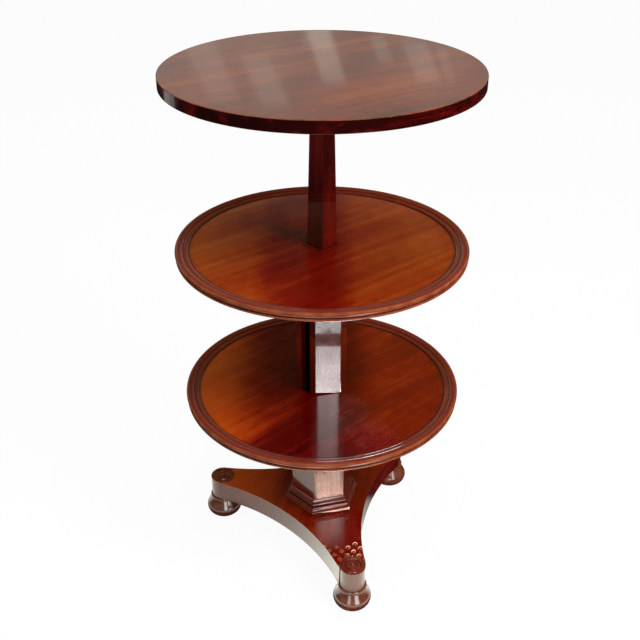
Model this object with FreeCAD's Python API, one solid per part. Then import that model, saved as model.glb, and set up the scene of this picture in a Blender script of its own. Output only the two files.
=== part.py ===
import FreeCAD, Part

import math
import os

# A three tier dumbwaiter stand in polished mahogany, in millimetres. The origin is on the floor under
# the column, +Z is up and the front foot lies towards -Y. Each tier rises on a telescopic column: a
# square tapered post slides in a hexagonal middle column, and that slides in a wider hexagonal column
# which stands in the platform. The stand is drawn at its full height.

# Heights above the floor
total_height = 1123.0
middle_tray_height = 771.0
lower_tray_height = 431.0
platform_underside = 55.0
platform_thickness = 50.0

# Small working values shared by many pieces
running_gap = 0.3
overrun = 20.0
arris = 1.2

# Round top
top_radius = 305.0
top_thickness = 23.5
top_batten_length = 400.0
top_batten_width = 30.0
top_batten_depth = 22.0
top_block_side = 112.0

# Round trays with a moulded rim
tray_radius = 299.0
tray_floor_thickness = 11.0
tray_recess = 8.0
rim_nose_radius = 6.5
rim_roll_width = 10.0
rim_roll_drop = 3.7
rim_inner_width = 10.5
rim_inner_rise = 1.6
rim_inner_step = 1.5
rim_seat_width = 11.0
rim_foot_bead_height = 5.0
rim_foot_bead_setback = 3.0
rim_foot_bead_swell = 1.8
rim_quirk_width = 1.4
rim_lap_depth = 1.5
tray_batten_length = 360.0
tray_batten_width = 28.0
tray_batten_depth = 20.0

# Hexagonal columns, measured across their flats
lower_column_flats = 123.6
lower_column_wall = 8.0
middle_column_flats = 98.6
middle_column_wall = 12.0
column_arris = 1.6
middle_column_bottom = 362.0
middle_flange_height = 14.0
guide_length = 36.0

# Slot in the middle column's left face
slot_width = 26.0
slot_end_gap = 1.0

# Square tapered post
post_side_top = 32.0
post_side_tray = 44.0
post_foot_height = 39.7
post_arris = 1.2
peg_height = 24.0
peg_setback = 1.5
escutcheon_margin = 7.0
escutcheon_thickness = 3.0
escutcheon_let_in = 1.5
escutcheon_fit = 0.2

# Stepped moulding round the column's base, from the top down
base_cove_height = 10.0
base_cove_reach = 4.0
base_bead_height = 6.5
base_bead_swell = 2.8
base_groove_height = 2.5
base_groove_reach = 5.0
base_lip_height = 4.5
base_lip_reach = 9.6
base_hollow_height = 6.0
base_plinth_reach = 15.0
base_plinth_height = 8.5

# Concave triangular platform and its corner drums
corner_circle_radius = 251.0
platform_waist = 109.0
arm_half_width = 30.5
arm_end_setback = 1.0
drum_radius = 28.5
drum_rise = 1.2
drum_groove_radius = 2.4
drum_groove_forward = 1.6
volute_radius = 27.6
volute_turn_pitch = 9.0
volute_band = 4.8
volute_rise = 3.6
volute_round = 1.1
volute_eye_radius = 4.2
pip_radius = 5.5
pip_rise = 2.7
pip_spacing_along = 17.2
pip_spacing_across = 19.0
pip_anchor_out = 178.5
pip_anchor_side = 44.5

# Turned bun feet
foot_radius = 41.9
foot_sole_radius = 32.0
foot_widest_height = 18.0
foot_belly_radius = 39.4
foot_belly_height = 28.0
foot_cove_depth = 0.5
foot_shoulder_radius = 29.6
foot_shoulder_height = 45.5
foot_collar_radius = 32.0
foot_collar_height = 8.0
foot_cap_radius = 28.0
spigot_radius = 11.0
spigot_length = 28.0

# Board that closes the well under the platform
well_board_radius = 92.0
well_board_thickness = 12.0

# Brass clamping screws under the trays
clamp_drop = 12.0
clamp_shank_radius = 4.0
clamp_boss_radius = 7.0
clamp_boss_length = 7.0
clamp_wing_half_length = 11.0
clamp_wing_radius = 5.0
clamp_wing_thickness = 3.6
clamp_wing_length = 15.0
clamp_back_off = 1.0
clamp_thread_gap = 0.06
nut_plate_width = 26.0
nut_plate_height = 18.0
nut_plate_thickness = 4.0
nut_screw_spacing = 19.0
nut_screw_radius = 1.6
nut_screw_length = 6.5
nut_screw_head_radius = 3.0
nut_screw_head_depth = 1.8

# Countersunk wood screws
wood_screw_radius = 2.2
wood_screw_head_radius = 4.4
wood_screw_head_depth = 3.0
wood_screw_hold = 7.0

FLANKS = (0, 60, 120, 180, 240, 300)
CORNERS = {"front": 0, "right": 120, "left": 240}
SLOT_BEARING = 300
CLAMP_BEARING = 120
POST_BEARING = 30

# Cells of the carved lattice on the front arm, counted along its two diagonals
PIP_CELLS = (
    (0, 0), (1, 0), (2, 0), (3, 0), (4, -1), (1, 1), (2, 1), (3, 1),
    (2, 2), (3, 2), (4, 2), (5, 2), (2, 3), (3, 3),
)
PIP_DIAGONAL_DEGREES = (-63, 20)

# Heights and widths that follow from the driving sizes
top_underside = total_height - top_thickness
tray_thickness = tray_floor_thickness + tray_recess
platform_top = platform_underside + platform_thickness
middle_column_bore = middle_column_flats - 2 * middle_column_wall
lower_column_bore = lower_column_flats - 2 * lower_column_wall
middle_tray_underside = middle_tray_height - tray_thickness
lower_tray_underside = lower_tray_height - tray_thickness
post_rise = top_underside - (middle_tray_height - tray_recess)
post_taper = (post_side_tray - post_side_top) / post_rise
post_foot_top = middle_tray_underside - guide_length - running_gap
post_bottom = post_foot_top - post_foot_height
peg_bottom = post_bottom + (post_foot_height - peg_height) / 2
slot_top = peg_bottom + peg_height + slot_end_gap
slot_bottom = middle_column_bottom + middle_flange_height / 2

UP = FreeCAD.Vector(0, 0, 1)
ORIGIN = FreeCAD.Vector(0, 0, 0)


def vec(x, y, z=0):
    return FreeCAD.Vector(x, y, z)


def turned(shape, bearing):
    """Turn a shape that was drawn at the front round the axis, by a bearing towards the right."""
    copy = shape.copy()
    copy.rotate(ORIGIN, UP, bearing)
    return copy


def prism(points, z_low, height):
    """Upright prism on an outline of x, y points."""
    corners = [vec(x, y, z_low) for x, y in points]
    outline = Part.makePolygon(corners + corners[:1])
    return Part.Face(outline).extrude(vec(0, 0, height))


def box(x_low, x_high, y_low, y_high, z_low, z_high):
    size = (x_high - x_low, y_high - y_low, z_high - z_low)
    return Part.makeBox(*size, vec(x_low, y_low, z_low))


def upright_edges(shape):
    """Straight edges that run along Z."""
    found = []
    for edge in shape.Edges:
        first, last = edge.Vertexes[0].Point, edge.Vertexes[-1].Point
        rise = abs(last.z - first.z)
        run = math.hypot(last.x - first.x, last.y - first.y)
        if rise > 0 and run < rise / 20:
            found.append(edge)
    return found


def hexagon(flats, z_low, height, rounding=0):
    """Upright hexagonal prism with one flat towards the front."""
    reach = flats / math.sqrt(3)
    points = []
    for bearing in FLANKS:
        angle = math.radians(bearing + 30)
        points.append((reach * math.sin(angle), -reach * math.cos(angle)))
    solid = prism(points, z_low, height)
    if rounding:
        solid = solid.makeFillet(rounding, upright_edges(solid))
    return solid


def square(side, z_low, height, bearing=POST_BEARING):
    half = side / 2
    return turned(box(-half, half, -half, half, z_low, z_low + height), bearing)


def wedge(flats_out, flats_in, z_low, height):
    """One sixth of a hexagonal tube, mitred at both edges, at the front."""
    slope = math.tan(math.radians(30))
    y_out, y_in = flats_out / 2, flats_in / 2
    points = [
        (-y_out * slope, -y_out),
        (y_out * slope, -y_out),
        (y_in * slope, -y_in),
        (-y_in * slope, -y_in),
    ]
    return prism(points, z_low, height)


def staves(flats, wall, z_low, height):
    """The six mitred staves of a hexagonal column, with its outer arrises rounded."""
    skin = hexagon(flats, z_low, height, column_arris)
    front = wedge(flats, flats - 2 * wall, z_low, height).common(skin)
    return [turned(front, bearing) for bearing in FLANKS]


def revolved(edges):
    """Solid of revolution about Z from edges in the XZ plane that close on themselves."""
    return Part.Face(Part.Wire(edges)).revolve(ORIGIN, UP, 360)


def line(first, last):
    return Part.LineSegment(vec(first[0], 0, first[1]), vec(last[0], 0, last[1])).toShape()


def bow(first, middle, last):
    """Arc through three r, z points of a turned or run section."""
    points = [vec(r, 0, z) for r, z in (first, middle, last)]
    return Part.Arc(*points).toShape()


def bulged(first, last, swell):
    """Arc between two section points that stands off their chord to its right by swell."""
    r_half, z_half = (first[0] + last[0]) / 2, (first[1] + last[1]) / 2
    r_run, z_run = last[0] - first[0], last[1] - first[1]
    chord = math.hypot(r_run, z_run)
    middle = (r_half + z_run / chord * swell, z_half - r_run / chord * swell)
    return bow(first, middle, last)


def rod(radius, length, height, near):
    """Round rod that runs out towards the front at a height, from a distance near the axis."""
    return Part.makeCylinder(radius, length, vec(0, -near, height), vec(0, -1, 0))


def wood_screw(x, y, z_low, length):
    """Countersunk screw driven upwards, with its head flush at z_low."""
    head = Part.makeCone(
        wood_screw_head_radius, wood_screw_radius, wood_screw_head_depth, vec(x, y, z_low)
    )
    shank = Part.makeCylinder(wood_screw_radius, length, vec(x, y, z_low))
    return head.fuse(shank).removeSplitter()


def post_side(z):
    """Side of the square tapered post at a height."""
    return post_side_top + (top_underside - z) * post_taper


def platform_plan(low, height):
    """Upright slab with three hollow sides and three blunt arms."""
    end = corner_circle_radius - arm_end_setback
    ear = math.hypot(end, arm_half_width)
    off_middle = math.radians(60) - math.atan2(arm_half_width, end)
    span = ear * math.cos(off_middle) - platform_waist
    centre = (ear ** 2 - platform_waist ** 2) / (2 * span)
    radius = centre - platform_waist
    wide = 2 * corner_circle_radius
    corners = []
    for bearing in CORNERS.values():
        angle = math.radians(bearing)
        corners.append((wide * math.sin(angle), -wide * math.cos(angle)))
    slab = prism(corners, low, height)
    for bearing in CORNERS.values():
        tip = box(-wide, wide, -wide - end, -end, low, low + height)
        slab = slab.cut(turned(tip, bearing))
        hollow = Part.makeCylinder(radius, height, vec(0, -centre, low))
        slab = slab.cut(turned(hollow, bearing + 60))
    return slab


def drum_grooves():
    """Upright grooves where the arm's two sides meet its drum."""
    forward = corner_circle_radius + drum_groove_forward
    grooves = []
    for side in (-1, 1):
        foot = vec(side * arm_half_width, -forward, platform_underside)
        grooves.append(Part.makeCylinder(drum_groove_radius, platform_thickness + overrun, foot))
    return grooves


def platform():
    """Board whose arms end in seats for the corner drums, with a well for the column."""
    board = platform_plan(platform_underside, platform_thickness)
    low = platform_underside - overrun
    deep = platform_thickness + 2 * overrun
    for bearing in CORNERS.values():
        seat = Part.makeCylinder(drum_radius, deep, vec(0, -corner_circle_radius, low))
        for tool in [seat] + drum_grooves():
            board = board.cut(turned(tool, bearing))
    return board.cut(hexagon(lower_column_flats, low, deep, column_arris))


def corner_drum():
    """Short turned drum that ends an arm, bored from below for the foot's spigot."""
    centre = vec(0, -corner_circle_radius, platform_underside)
    drum = Part.makeCylinder(drum_radius, platform_thickness + drum_rise, centre)
    rims = [edge for edge in drum.Edges if len(edge.Vertexes) == 1]
    drum = drum.makeFillet(arris / 2, rims)
    for groove in drum_grooves():
        drum = drum.cut(groove)
    return drum.cut(Part.makeCylinder(spigot_radius, spigot_length, centre))


def volute():
    """Raised scroll on a drum: a band that winds in by half circles to a round eye."""
    top = platform_top + drum_rise
    outer, inner = [], []
    centre_x, radius, side = 0, volute_radius, 1
    for half_turn in range(4):
        for edges, r in ((outer, radius), (inner, radius - volute_band)):
            start = vec(centre_x + side * r, 0, top)
            middle = vec(centre_x, side * r, top)
            end = vec(centre_x - side * r, 0, top)
            edges.append(Part.Arc(start, middle, end).toShape())
        next_radius = radius - volute_turn_pitch / 2
        centre_x -= side * (radius - next_radius)
        radius, side = next_radius, -side
    last = radius + volute_turn_pitch / 2
    last_x = centre_x - side * (volute_turn_pitch / 2)
    mouth = Part.makeLine(
        vec(volute_radius, 0, top), vec(volute_radius - volute_band, 0, top)
    )
    tail = Part.makeLine(
        vec(last_x + side * last, 0, top), vec(last_x + side * (last - volute_band), 0, top)
    )
    wire = Part.Wire(Part.__sortEdges__(outer + [tail] + inner + [mouth]))
    band = Part.Face(wire).extrude(vec(0, 0, volute_rise))
    crest = [edge for edge in band.Edges if edge.BoundBox.ZMin > top + volute_rise / 2]
    band = band.makeFillet(volute_round, crest)
    eye = Part.makeCylinder(volute_eye_radius, volute_rise, vec(last_x, 0, top))
    eye = eye.makeFillet(volute_round, [edge for edge in eye.Edges if edge.BoundBox.ZMin > top])
    scroll = Part.makeCompound([band, eye])
    scroll.translate(vec(0, -corner_circle_radius, 0))
    return scroll


def pips():
    """Small carved domes in a slanting lattice on the front arm, cut off at the arm's edges."""
    radius = (pip_radius ** 2 + pip_rise ** 2) / (2 * pip_rise)
    drum = Part.makeCylinder(drum_radius, pip_rise, vec(0, -corner_circle_radius, platform_top))
    plan = platform_plan(platform_top, pip_rise).cut(drum)
    for groove in drum_grooves():
        plan = plan.cut(groove)
    along_angle, across_angle = [math.radians(degrees) for degrees in PIP_DIAGONAL_DEGREES]
    domes = []
    for along, across in PIP_CELLS:
        down, over = along * pip_spacing_along, across * pip_spacing_across
        x = down * math.cos(along_angle) + over * math.cos(across_angle) - pip_anchor_side
        y = down * math.sin(along_angle) + over * math.sin(across_angle) - pip_anchor_out
        ball = Part.makeSphere(radius, vec(x, y, platform_top + pip_rise - radius))
        domes.append(ball.common(plan))
    return Part.makeCompound(domes)


def bun_foot():
    """Turned foot with a wide sole, a low belly, a cove that draws in to a collar, and a spigot."""
    collar_top = platform_underside
    collar_low = collar_top - foot_collar_height
    collar_mid = (collar_top + collar_low) / 2
    sole = (foot_sole_radius, 0)
    widest = (foot_radius, foot_widest_height)
    belly_top = (foot_belly_radius, foot_belly_height)
    shoulder = (foot_shoulder_radius, foot_shoulder_height)
    spigot_top = platform_underside + spigot_length
    edges = [
        line((0, 0), sole),
        bow(sole, widest, belly_top),
        bulged(belly_top, shoulder, -foot_cove_depth),
        line(shoulder, (foot_shoulder_radius, collar_low)),
        bow(
            (foot_shoulder_radius, collar_low),
            (foot_collar_radius, collar_mid),
            (foot_cap_radius, collar_top),
        ),
        line((foot_cap_radius, collar_top), (spigot_radius, collar_top)),
        line((spigot_radius, collar_top), (spigot_radius, spigot_top)),
        line((spigot_radius, spigot_top), (0, spigot_top)),
        line((0, spigot_top), (0, 0)),
    ]
    foot = revolved(edges)
    foot.translate(vec(0, -corner_circle_radius, 0))
    return foot


def mitred_ring(edges):
    """Hexagonal moulding, mitred at its corners, from a closed section drawn to the right of Z."""
    section = Part.Face(Part.Wire(edges))
    section.rotate(ORIGIN, UP, -90)
    bound = section.BoundBox
    half = lower_column_flats
    section.translate(vec(-half, 0, 0))
    run = section.extrude(vec(2 * half, 0, 0))
    slope = math.tan(math.radians(30))
    reach = lower_column_flats
    sector = prism(
        [(0, 0), (-reach * slope, -reach), (reach * slope, -reach)],
        bound.ZMin - overrun,
        bound.ZLength + 2 * overrun,
    )
    side = run.common(sector)
    whole = side
    for bearing in FLANKS[1:]:
        whole = whole.fuse(turned(side, bearing))
    return whole.removeSplitter()


def base_plinth():
    """Lower member of the base moulding: an upright plinth, a hollow and a rounded lip."""
    inside = lower_column_flats / 2
    low = platform_top
    step = low + base_plinth_height
    lip = step + base_hollow_height
    top = lip + base_lip_height
    plinth_out = inside + base_plinth_reach
    lip_out = inside + base_lip_reach
    edges = [
        line((inside, low), (plinth_out, low)),
        line((plinth_out, low), (plinth_out, step - base_lip_height / 3)),
        bow(
            (plinth_out, step - base_lip_height / 3),
            (plinth_out - base_lip_height / 6, step - base_lip_height / 20),
            (plinth_out - base_lip_height / 3, step),
        ),
        bulged((plinth_out - base_lip_height / 3, step), (lip_out, lip), -base_hollow_height / 4),
        bulged((lip_out, lip), (lip_out, top), base_lip_height / 3),
        line((lip_out, top), (inside, top)),
        line((inside, top), (inside, low)),
    ]
    return mitred_ring(edges)


def base_bead():
    """Upper member of the base moulding: a groove, a half round bead and a cove."""
    inside = lower_column_flats / 2
    low = platform_top + base_plinth_height + base_hollow_height + base_lip_height
    bead_low = low + base_groove_height
    bead_top = bead_low + base_bead_height
    top = bead_top + base_cove_height
    cove_out = inside + base_cove_reach
    groove_out = inside + base_groove_reach
    lip = base_cove_reach / 8
    edges = [
        line((inside, low), (groove_out, low)),
        line((groove_out, low), (groove_out, bead_low)),
        bulged((groove_out, bead_low), (cove_out, bead_top), base_bead_swell),
        bulged((cove_out, bead_top), (inside + lip, top), -base_cove_reach / 4),
        line((inside + lip, top), (inside, top)),
        line((inside, top), (inside, low)),
    ]
    return mitred_ring(edges)


def tray_rim(height):
    """Moulded ring round a tray: a foot bead, a quirk, a wide rounded roll and an inner bead."""
    low = height - tray_thickness
    floor_top = height - tray_recess
    nose_r = tray_radius - rim_nose_radius
    nose_z = height - rim_nose_radius
    foot_r = tray_radius - rim_foot_bead_setback
    quirk_low = low + rim_foot_bead_height
    quirk_top = quirk_low + rim_quirk_width
    quirk_r = foot_r - rim_foot_bead_swell
    drop = nose_z - quirk_top
    under_r = nose_r + math.sqrt(rim_nose_radius ** 2 - drop ** 2)
    crest_r = nose_r - rim_roll_width
    crest_z = height - rim_roll_drop
    inner_r = crest_r - rim_inner_width
    inner_top = crest_z - rim_inner_step
    inner_low = floor_top + rim_inner_step
    roll_radius = (rim_roll_width ** 2 + rim_roll_drop ** 2) / (2 * rim_roll_drop)
    half = rim_roll_width / 2
    roll_mid = height - roll_radius + math.sqrt(roll_radius ** 2 - half ** 2)
    nose_diagonal = rim_nose_radius / math.sqrt(2)
    seat_r = inner_r + rim_seat_width
    edges = [
        line((seat_r, low), (foot_r, low)),
        bulged((foot_r, low), (foot_r, quirk_low), rim_foot_bead_swell),
        line((foot_r, quirk_low), (quirk_r, quirk_low)),
        line((quirk_r, quirk_low), (quirk_r, quirk_top)),
        line((quirk_r, quirk_top), (under_r, quirk_top)),
        bow((under_r, quirk_top), (tray_radius, nose_z), (nose_r + nose_diagonal, nose_z + nose_diagonal)),
        bow(
            (nose_r + nose_diagonal, nose_z + nose_diagonal),
            (nose_r + rim_nose_radius * math.sin(math.radians(22)),
             nose_z + rim_nose_radius * math.cos(math.radians(22))),
            (nose_r, height),
        ),
        bow((nose_r, height), (nose_r - half, roll_mid), (crest_r, crest_z)),
        line((crest_r, crest_z), (crest_r, inner_top)),
        bulged((crest_r, inner_top), (inner_r, inner_low), rim_inner_rise),
        line((inner_r, inner_low), (inner_r, floor_top - rim_lap_depth)),
        line((inner_r, floor_top - rim_lap_depth), (seat_r, floor_top - rim_lap_depth)),
        line((seat_r, floor_top - rim_lap_depth), (seat_r, low)),
    ]
    return revolved(edges)


def tray_seat_radius():
    """Radius of the floor board, which fits in the rim's rebate."""
    roll = rim_nose_radius + rim_roll_width + rim_inner_width
    return tray_radius - roll + rim_seat_width


def tray_floor(height, hole):
    """Round board, rebated at its edge for the rim's lap, with a quirk left open inside the lap."""
    low = height - tray_thickness
    lapped = tray_floor_thickness - rim_lap_depth
    field = tray_seat_radius() - rim_seat_width - rim_quirk_width
    board = Part.makeCylinder(tray_seat_radius(), lapped, vec(0, 0, low))
    board = board.fuse(Part.makeCylinder(field, tray_floor_thickness, vec(0, 0, low)))
    return board.removeSplitter().cut(hole)


def batten(length, width, depth, near, underside):
    """Batten under a board, on the front side of the column, with its lower arrises eased."""
    bar = box(-length / 2, length / 2, -near - width, -near, underside - depth, underside)
    ends = []
    for edge in bar.Edges:
        bound = edge.BoundBox
        if bound.YLength > width / 2 and bound.ZMax < underside - depth / 2:
            ends.append(edge)
    return bar.makeChamfer(depth / 2, ends)


def batten_screws(length, width, depth, near, underside, hold):
    """Two screws up through a batten into the board above it."""
    place = length / 2 - depth * 2
    level = underside - depth
    middle = -near - width / 2
    return [wood_screw(x, middle, level, depth + hold) for x in (-place, place)]


def drilled(wood, screws):
    for screw in screws:
        wood = wood.cut(screw)
    return wood


def clamp_screw(flats, bore_side, underside):
    """Brass thumb screw, drawn towards the front: a shank, a boss and a flat wing."""
    height = underside - clamp_drop
    face = flats / 2
    near = bore_side / 2 + running_gap
    boss_near = face + nut_plate_thickness + clamp_back_off
    shank = rod(clamp_shank_radius, boss_near - near + clamp_back_off, height, near)
    boss = rod(clamp_boss_radius, clamp_boss_length, height, boss_near)
    wing_near = boss_near + clamp_boss_length - clamp_back_off
    half = clamp_wing_half_length - clamp_wing_radius
    thick = clamp_wing_thickness / 2
    blade = box(
        -clamp_wing_half_length, clamp_wing_half_length,
        -wing_near - clamp_wing_length, -wing_near, height - thick, height + thick,
    )
    ends = [edge for edge in upright_edges(blade) if edge.BoundBox.YMax < -wing_near - half]
    blade = blade.makeFillet(clamp_wing_radius, ends)
    return shank.fuse(boss).fuse(blade).removeSplitter()


def clamp_nut(flats, underside):
    """Brass threaded plate on the column's face, with two screw holes."""
    height = underside - clamp_drop
    face = flats / 2
    half_w, half_h = nut_plate_width / 2, nut_plate_height / 2
    plate = box(-half_w, half_w, -face - nut_plate_thickness, -face, height - half_h, height + half_h)
    across = [edge for edge in plate.Edges if edge.BoundBox.YLength > nut_plate_thickness / 2]
    plate = plate.makeFillet(arris, across)
    bore = rod(clamp_shank_radius + clamp_thread_gap, nut_plate_thickness + overrun, height, face - overrun / 2)
    return plate.cut(bore)


def nut_screws(flats, underside):
    height = underside - clamp_drop
    face = flats / 2 + nut_plate_thickness
    screws = []
    for x in (-nut_screw_spacing / 2, nut_screw_spacing / 2):
        at = vec(x, -face, height)
        head = Part.makeCone(
            nut_screw_head_radius, nut_screw_radius, nut_screw_head_depth, at, vec(0, 1, 0)
        )
        shank = Part.makeCylinder(
            nut_screw_radius, nut_screw_length + nut_plate_thickness, at, vec(0, 1, 0)
        )
        screws.append(head.fuse(shank).removeSplitter())
    return screws


def clamp_way(flats, underside):
    """Clear way for a clamp screw's shank through a column wall and its guide."""
    height = underside - clamp_drop
    return rod(clamp_shank_radius + running_gap, flats, height, 0)


def stand():
    """Everything that stays still: feet, platform, lower column and lower tray."""
    pieces = {"platform": platform()}
    for corner, bearing in CORNERS.items():
        pieces["corner_drum_" + corner] = turned(corner_drum(), bearing)
        pieces["scroll_" + corner] = turned(volute(), bearing)
        pieces["bun_foot_" + corner] = turned(bun_foot(), bearing)
    pieces["carved_pips"] = pips()
    pieces["base_plinth"] = base_plinth()
    pieces["base_bead"] = base_bead()

    way = turned(clamp_way(lower_column_flats, lower_tray_underside), CLAMP_BEARING)
    fixings = [turned(s, CLAMP_BEARING) for s in nut_screws(lower_column_flats, lower_tray_underside)]
    column = lower_tray_underside - platform_underside
    walls = staves(lower_column_flats, lower_column_wall, platform_underside, column)
    for count, stave in enumerate(walls, start=1):
        pieces[f"lower_stave_{count}"] = drilled(stave, fixings + [way])
    pieces["lower_clamp_plate"] = drilled(
        turned(clamp_nut(lower_column_flats, lower_tray_underside), CLAMP_BEARING), fixings
    )
    pieces["lower_clamp_plate_screws"] = Part.makeCompound(fixings)

    guide = hexagon(lower_column_bore, lower_tray_underside - guide_length, guide_length)
    middle_hole = hexagon(
        middle_column_flats + 2 * running_gap, 0, total_height, column_arris
    )
    pieces["lower_guide"] = drilled(guide.cut(middle_hole), fixings + [way])

    level = platform_underside - well_board_thickness
    board = Part.makeCylinder(well_board_radius, well_board_thickness, vec(0, 0, level))
    ring = (well_board_radius + lower_column_flats / math.sqrt(3)) / 2
    length = well_board_thickness + wood_screw_hold
    screws = [turned(wood_screw(0, -ring, level, length), b + 60) for b in CORNERS.values()]
    pieces["well_board"] = drilled(board, screws)
    pieces["platform"] = drilled(pieces["platform"], screws)
    pieces["well_board_screws"] = Part.makeCompound(screws)

    pieces["lower_tray_rim"] = tray_rim(lower_tray_height)
    pieces.update(tray_floor_set("lower", lower_tray_height, middle_hole, lower_column_flats))
    return pieces


def tray_floor_set(name, height, hole, flats):
    """A tray's floor board, its two battens and their screws."""
    underside = height - tray_thickness
    sizes = (tray_batten_length, tray_batten_width, tray_batten_depth, flats / 2, underside)
    bars = {"front": 0, "back": 180}
    screws = []
    for bearing in bars.values():
        screws += [turned(s, bearing) for s in batten_screws(*sizes, wood_screw_hold)]
    pieces = {f"{name}_tray_floor": drilled(tray_floor(height, hole), screws)}
    for side, bearing in bars.items():
        pieces[f"{name}_tray_batten_{side}"] = drilled(turned(batten(*sizes), bearing), screws)
    pieces[f"{name}_tray_screws"] = Part.makeCompound(screws)
    return pieces


def middle_stage():
    """The middle tray with its hexagonal column and what is fixed to them."""
    pieces = {}
    bottom, top = middle_column_bottom, middle_tray_underside
    way = turned(clamp_way(middle_column_flats, top), CLAMP_BEARING)
    fixings = [turned(s, CLAMP_BEARING) for s in nut_screws(middle_column_flats, top)]
    walls = staves(middle_column_flats, middle_column_wall, bottom, top - bottom)
    count = 0
    for bearing, stave in zip(FLANKS, walls):
        if bearing == SLOT_BEARING:
            pieces.update(slotted_face(stave))
            continue
        count += 1
        pieces[f"middle_stave_{count}"] = drilled(stave, fixings + [way])
    pieces["middle_clamp_plate"] = drilled(
        turned(clamp_nut(middle_column_flats, top), CLAMP_BEARING), fixings
    )
    pieces["middle_clamp_plate_screws"] = Part.makeCompound(fixings)

    flange = hexagon(lower_column_bore - 2 * running_gap, bottom, middle_flange_height)
    skin = hexagon(middle_column_flats, bottom - overrun, middle_flange_height + 2 * overrun, column_arris)
    pieces["middle_flange"] = flange.cut(skin)

    level = top - guide_length
    guide = hexagon(middle_column_bore, level, guide_length)
    hole = square(post_side(level) + 2 * running_gap, 0, total_height)
    pieces["post_guide"] = drilled(guide.cut(hole), fixings + [way])

    floor_top = middle_tray_height - tray_recess
    plate_side = post_side(floor_top) + 2 * (running_gap + escutcheon_margin)
    plate_low = floor_top - escutcheon_let_in
    plate = square(plate_side, plate_low, escutcheon_let_in + escutcheon_thickness)
    rims = [edge for edge in plate.Edges if edge.BoundBox.ZMin > floor_top]
    pieces["post_escutcheon"] = plate.makeChamfer(arris, rims).cut(hole)

    pieces["middle_tray_rim"] = tray_rim(middle_tray_height)
    pieces.update(tray_floor_set("middle", middle_tray_height, hole, middle_column_flats))
    recess = square(plate_side + 2 * escutcheon_fit, plate_low, overrun)
    pieces["middle_tray_floor"] = pieces["middle_tray_floor"].cut(recess)
    return pieces


def slotted_face(stave):
    """The left face of the middle column: two stiles with a head and a foot block between them."""
    half = slot_width / 2
    bottom, top = middle_column_bottom, middle_tray_underside
    reach = middle_column_flats
    parts = {
        "slot_stile_left": (-reach, -half, bottom, top),
        "slot_stile_right": (half, reach, bottom, top),
        "slot_head": (-half, half, slot_top, top),
        "slot_foot": (-half, half, bottom, slot_bottom),
    }
    pieces = {}
    for name, (x_low, x_high, z_low, z_high) in parts.items():
        keep = turned(box(x_low, x_high, -reach, 0, z_low, z_high), SLOT_BEARING)
        pieces[name] = stave.common(keep)
    return pieces


def tapered_post():
    """Square post, widest at its foot, with its four upright arrises eased."""
    ends = []
    for z in (post_bottom, top_underside):
        half = post_side(z) / 2
        corners = [vec(x, y, z) for x, y in ((-half, -half), (half, -half), (half, half), (-half, half))]
        ends.append(Part.makePolygon(corners + corners[:1]))
    solid = Part.makeLoft(ends, True, True)
    sloped = [edge for edge in solid.Edges if edge.BoundBox.ZLength > post_side_tray]
    return turned(solid.makeFillet(post_arris, sloped), POST_BEARING)


def upper_stage():
    """The round top with its tapered post, and the block and peg at the post's foot."""
    post = tapered_post()
    pieces = {"post": post}
    block = hexagon(middle_column_bore - 2 * running_gap, post_bottom, post_foot_height, column_arris)
    pieces["post_foot_block"] = block.cut(post)

    near = middle_column_bore / 2 - running_gap
    far = middle_column_flats / 2 - peg_setback
    half = slot_width / 2 - running_gap
    peg = box(-half, half, -far, -near, peg_bottom, peg_bottom + peg_height)
    ends = [edge for edge in peg.Edges if edge.BoundBox.YMax < -near - peg_setback]
    pieces["slot_peg"] = turned(peg.makeChamfer(arris / 2, ends), SLOT_BEARING)

    board = Part.makeCylinder(top_radius, top_thickness, vec(0, 0, top_underside))
    rims = [edge for edge in board.Edges if len(edge.Vertexes) == 1]
    board = board.makeFillet(arris, rims)
    sizes = (top_batten_length, top_batten_width, top_batten_depth, top_block_side / 2, top_underside)
    bars = {"front": POST_BEARING, "back": POST_BEARING + 180}
    screws = []
    for bearing in bars.values():
        screws += [turned(s, bearing) for s in batten_screws(*sizes, 2 * wood_screw_hold)]
    pieces["round_top"] = drilled(board, screws)
    for side, bearing in bars.items():
        pieces["top_batten_" + side] = drilled(turned(batten(*sizes), bearing), screws)
    pieces["top_screws"] = Part.makeCompound(screws)
    block = square(top_block_side, top_underside - top_batten_depth, top_batten_depth)
    pieces["top_block"] = block.cut(post)
    return pieces


def clamps():
    """The two thumb screws, one for each sliding stage."""
    lower = clamp_screw(lower_column_flats, middle_column_flats, lower_tray_underside)
    level = middle_tray_underside - guide_length
    middle = clamp_screw(middle_column_flats, post_side(level), middle_tray_underside)
    return {
        "lower_clamp_screw": turned(lower, CLAMP_BEARING),
        "middle_clamp_screw": turned(middle, CLAMP_BEARING),
    }


def main():
    os.makedirs("parts", exist_ok=True)
    pieces = {}
    for group in (stand(), middle_stage(), upper_stage(), clamps()):
        pieces.update(group)
    for name, shape in pieces.items():
        shape.exportStep(os.path.join("parts", name + ".step"))
    print(len(pieces), "pieces written")


main()
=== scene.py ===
# %% [markdown]
# # A three tier serving stand in French polished mahogany
#
# The real piece is a dumbwaiter: a plain round top and two round trays on a column that telescopes, on a
# hollow-sided platform with three bun feet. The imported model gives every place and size, and this file
# dresses it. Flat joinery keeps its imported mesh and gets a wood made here. Turned, moulded and carved
# pieces are made again with finer curves, because a polished curve shows every facet.

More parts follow.
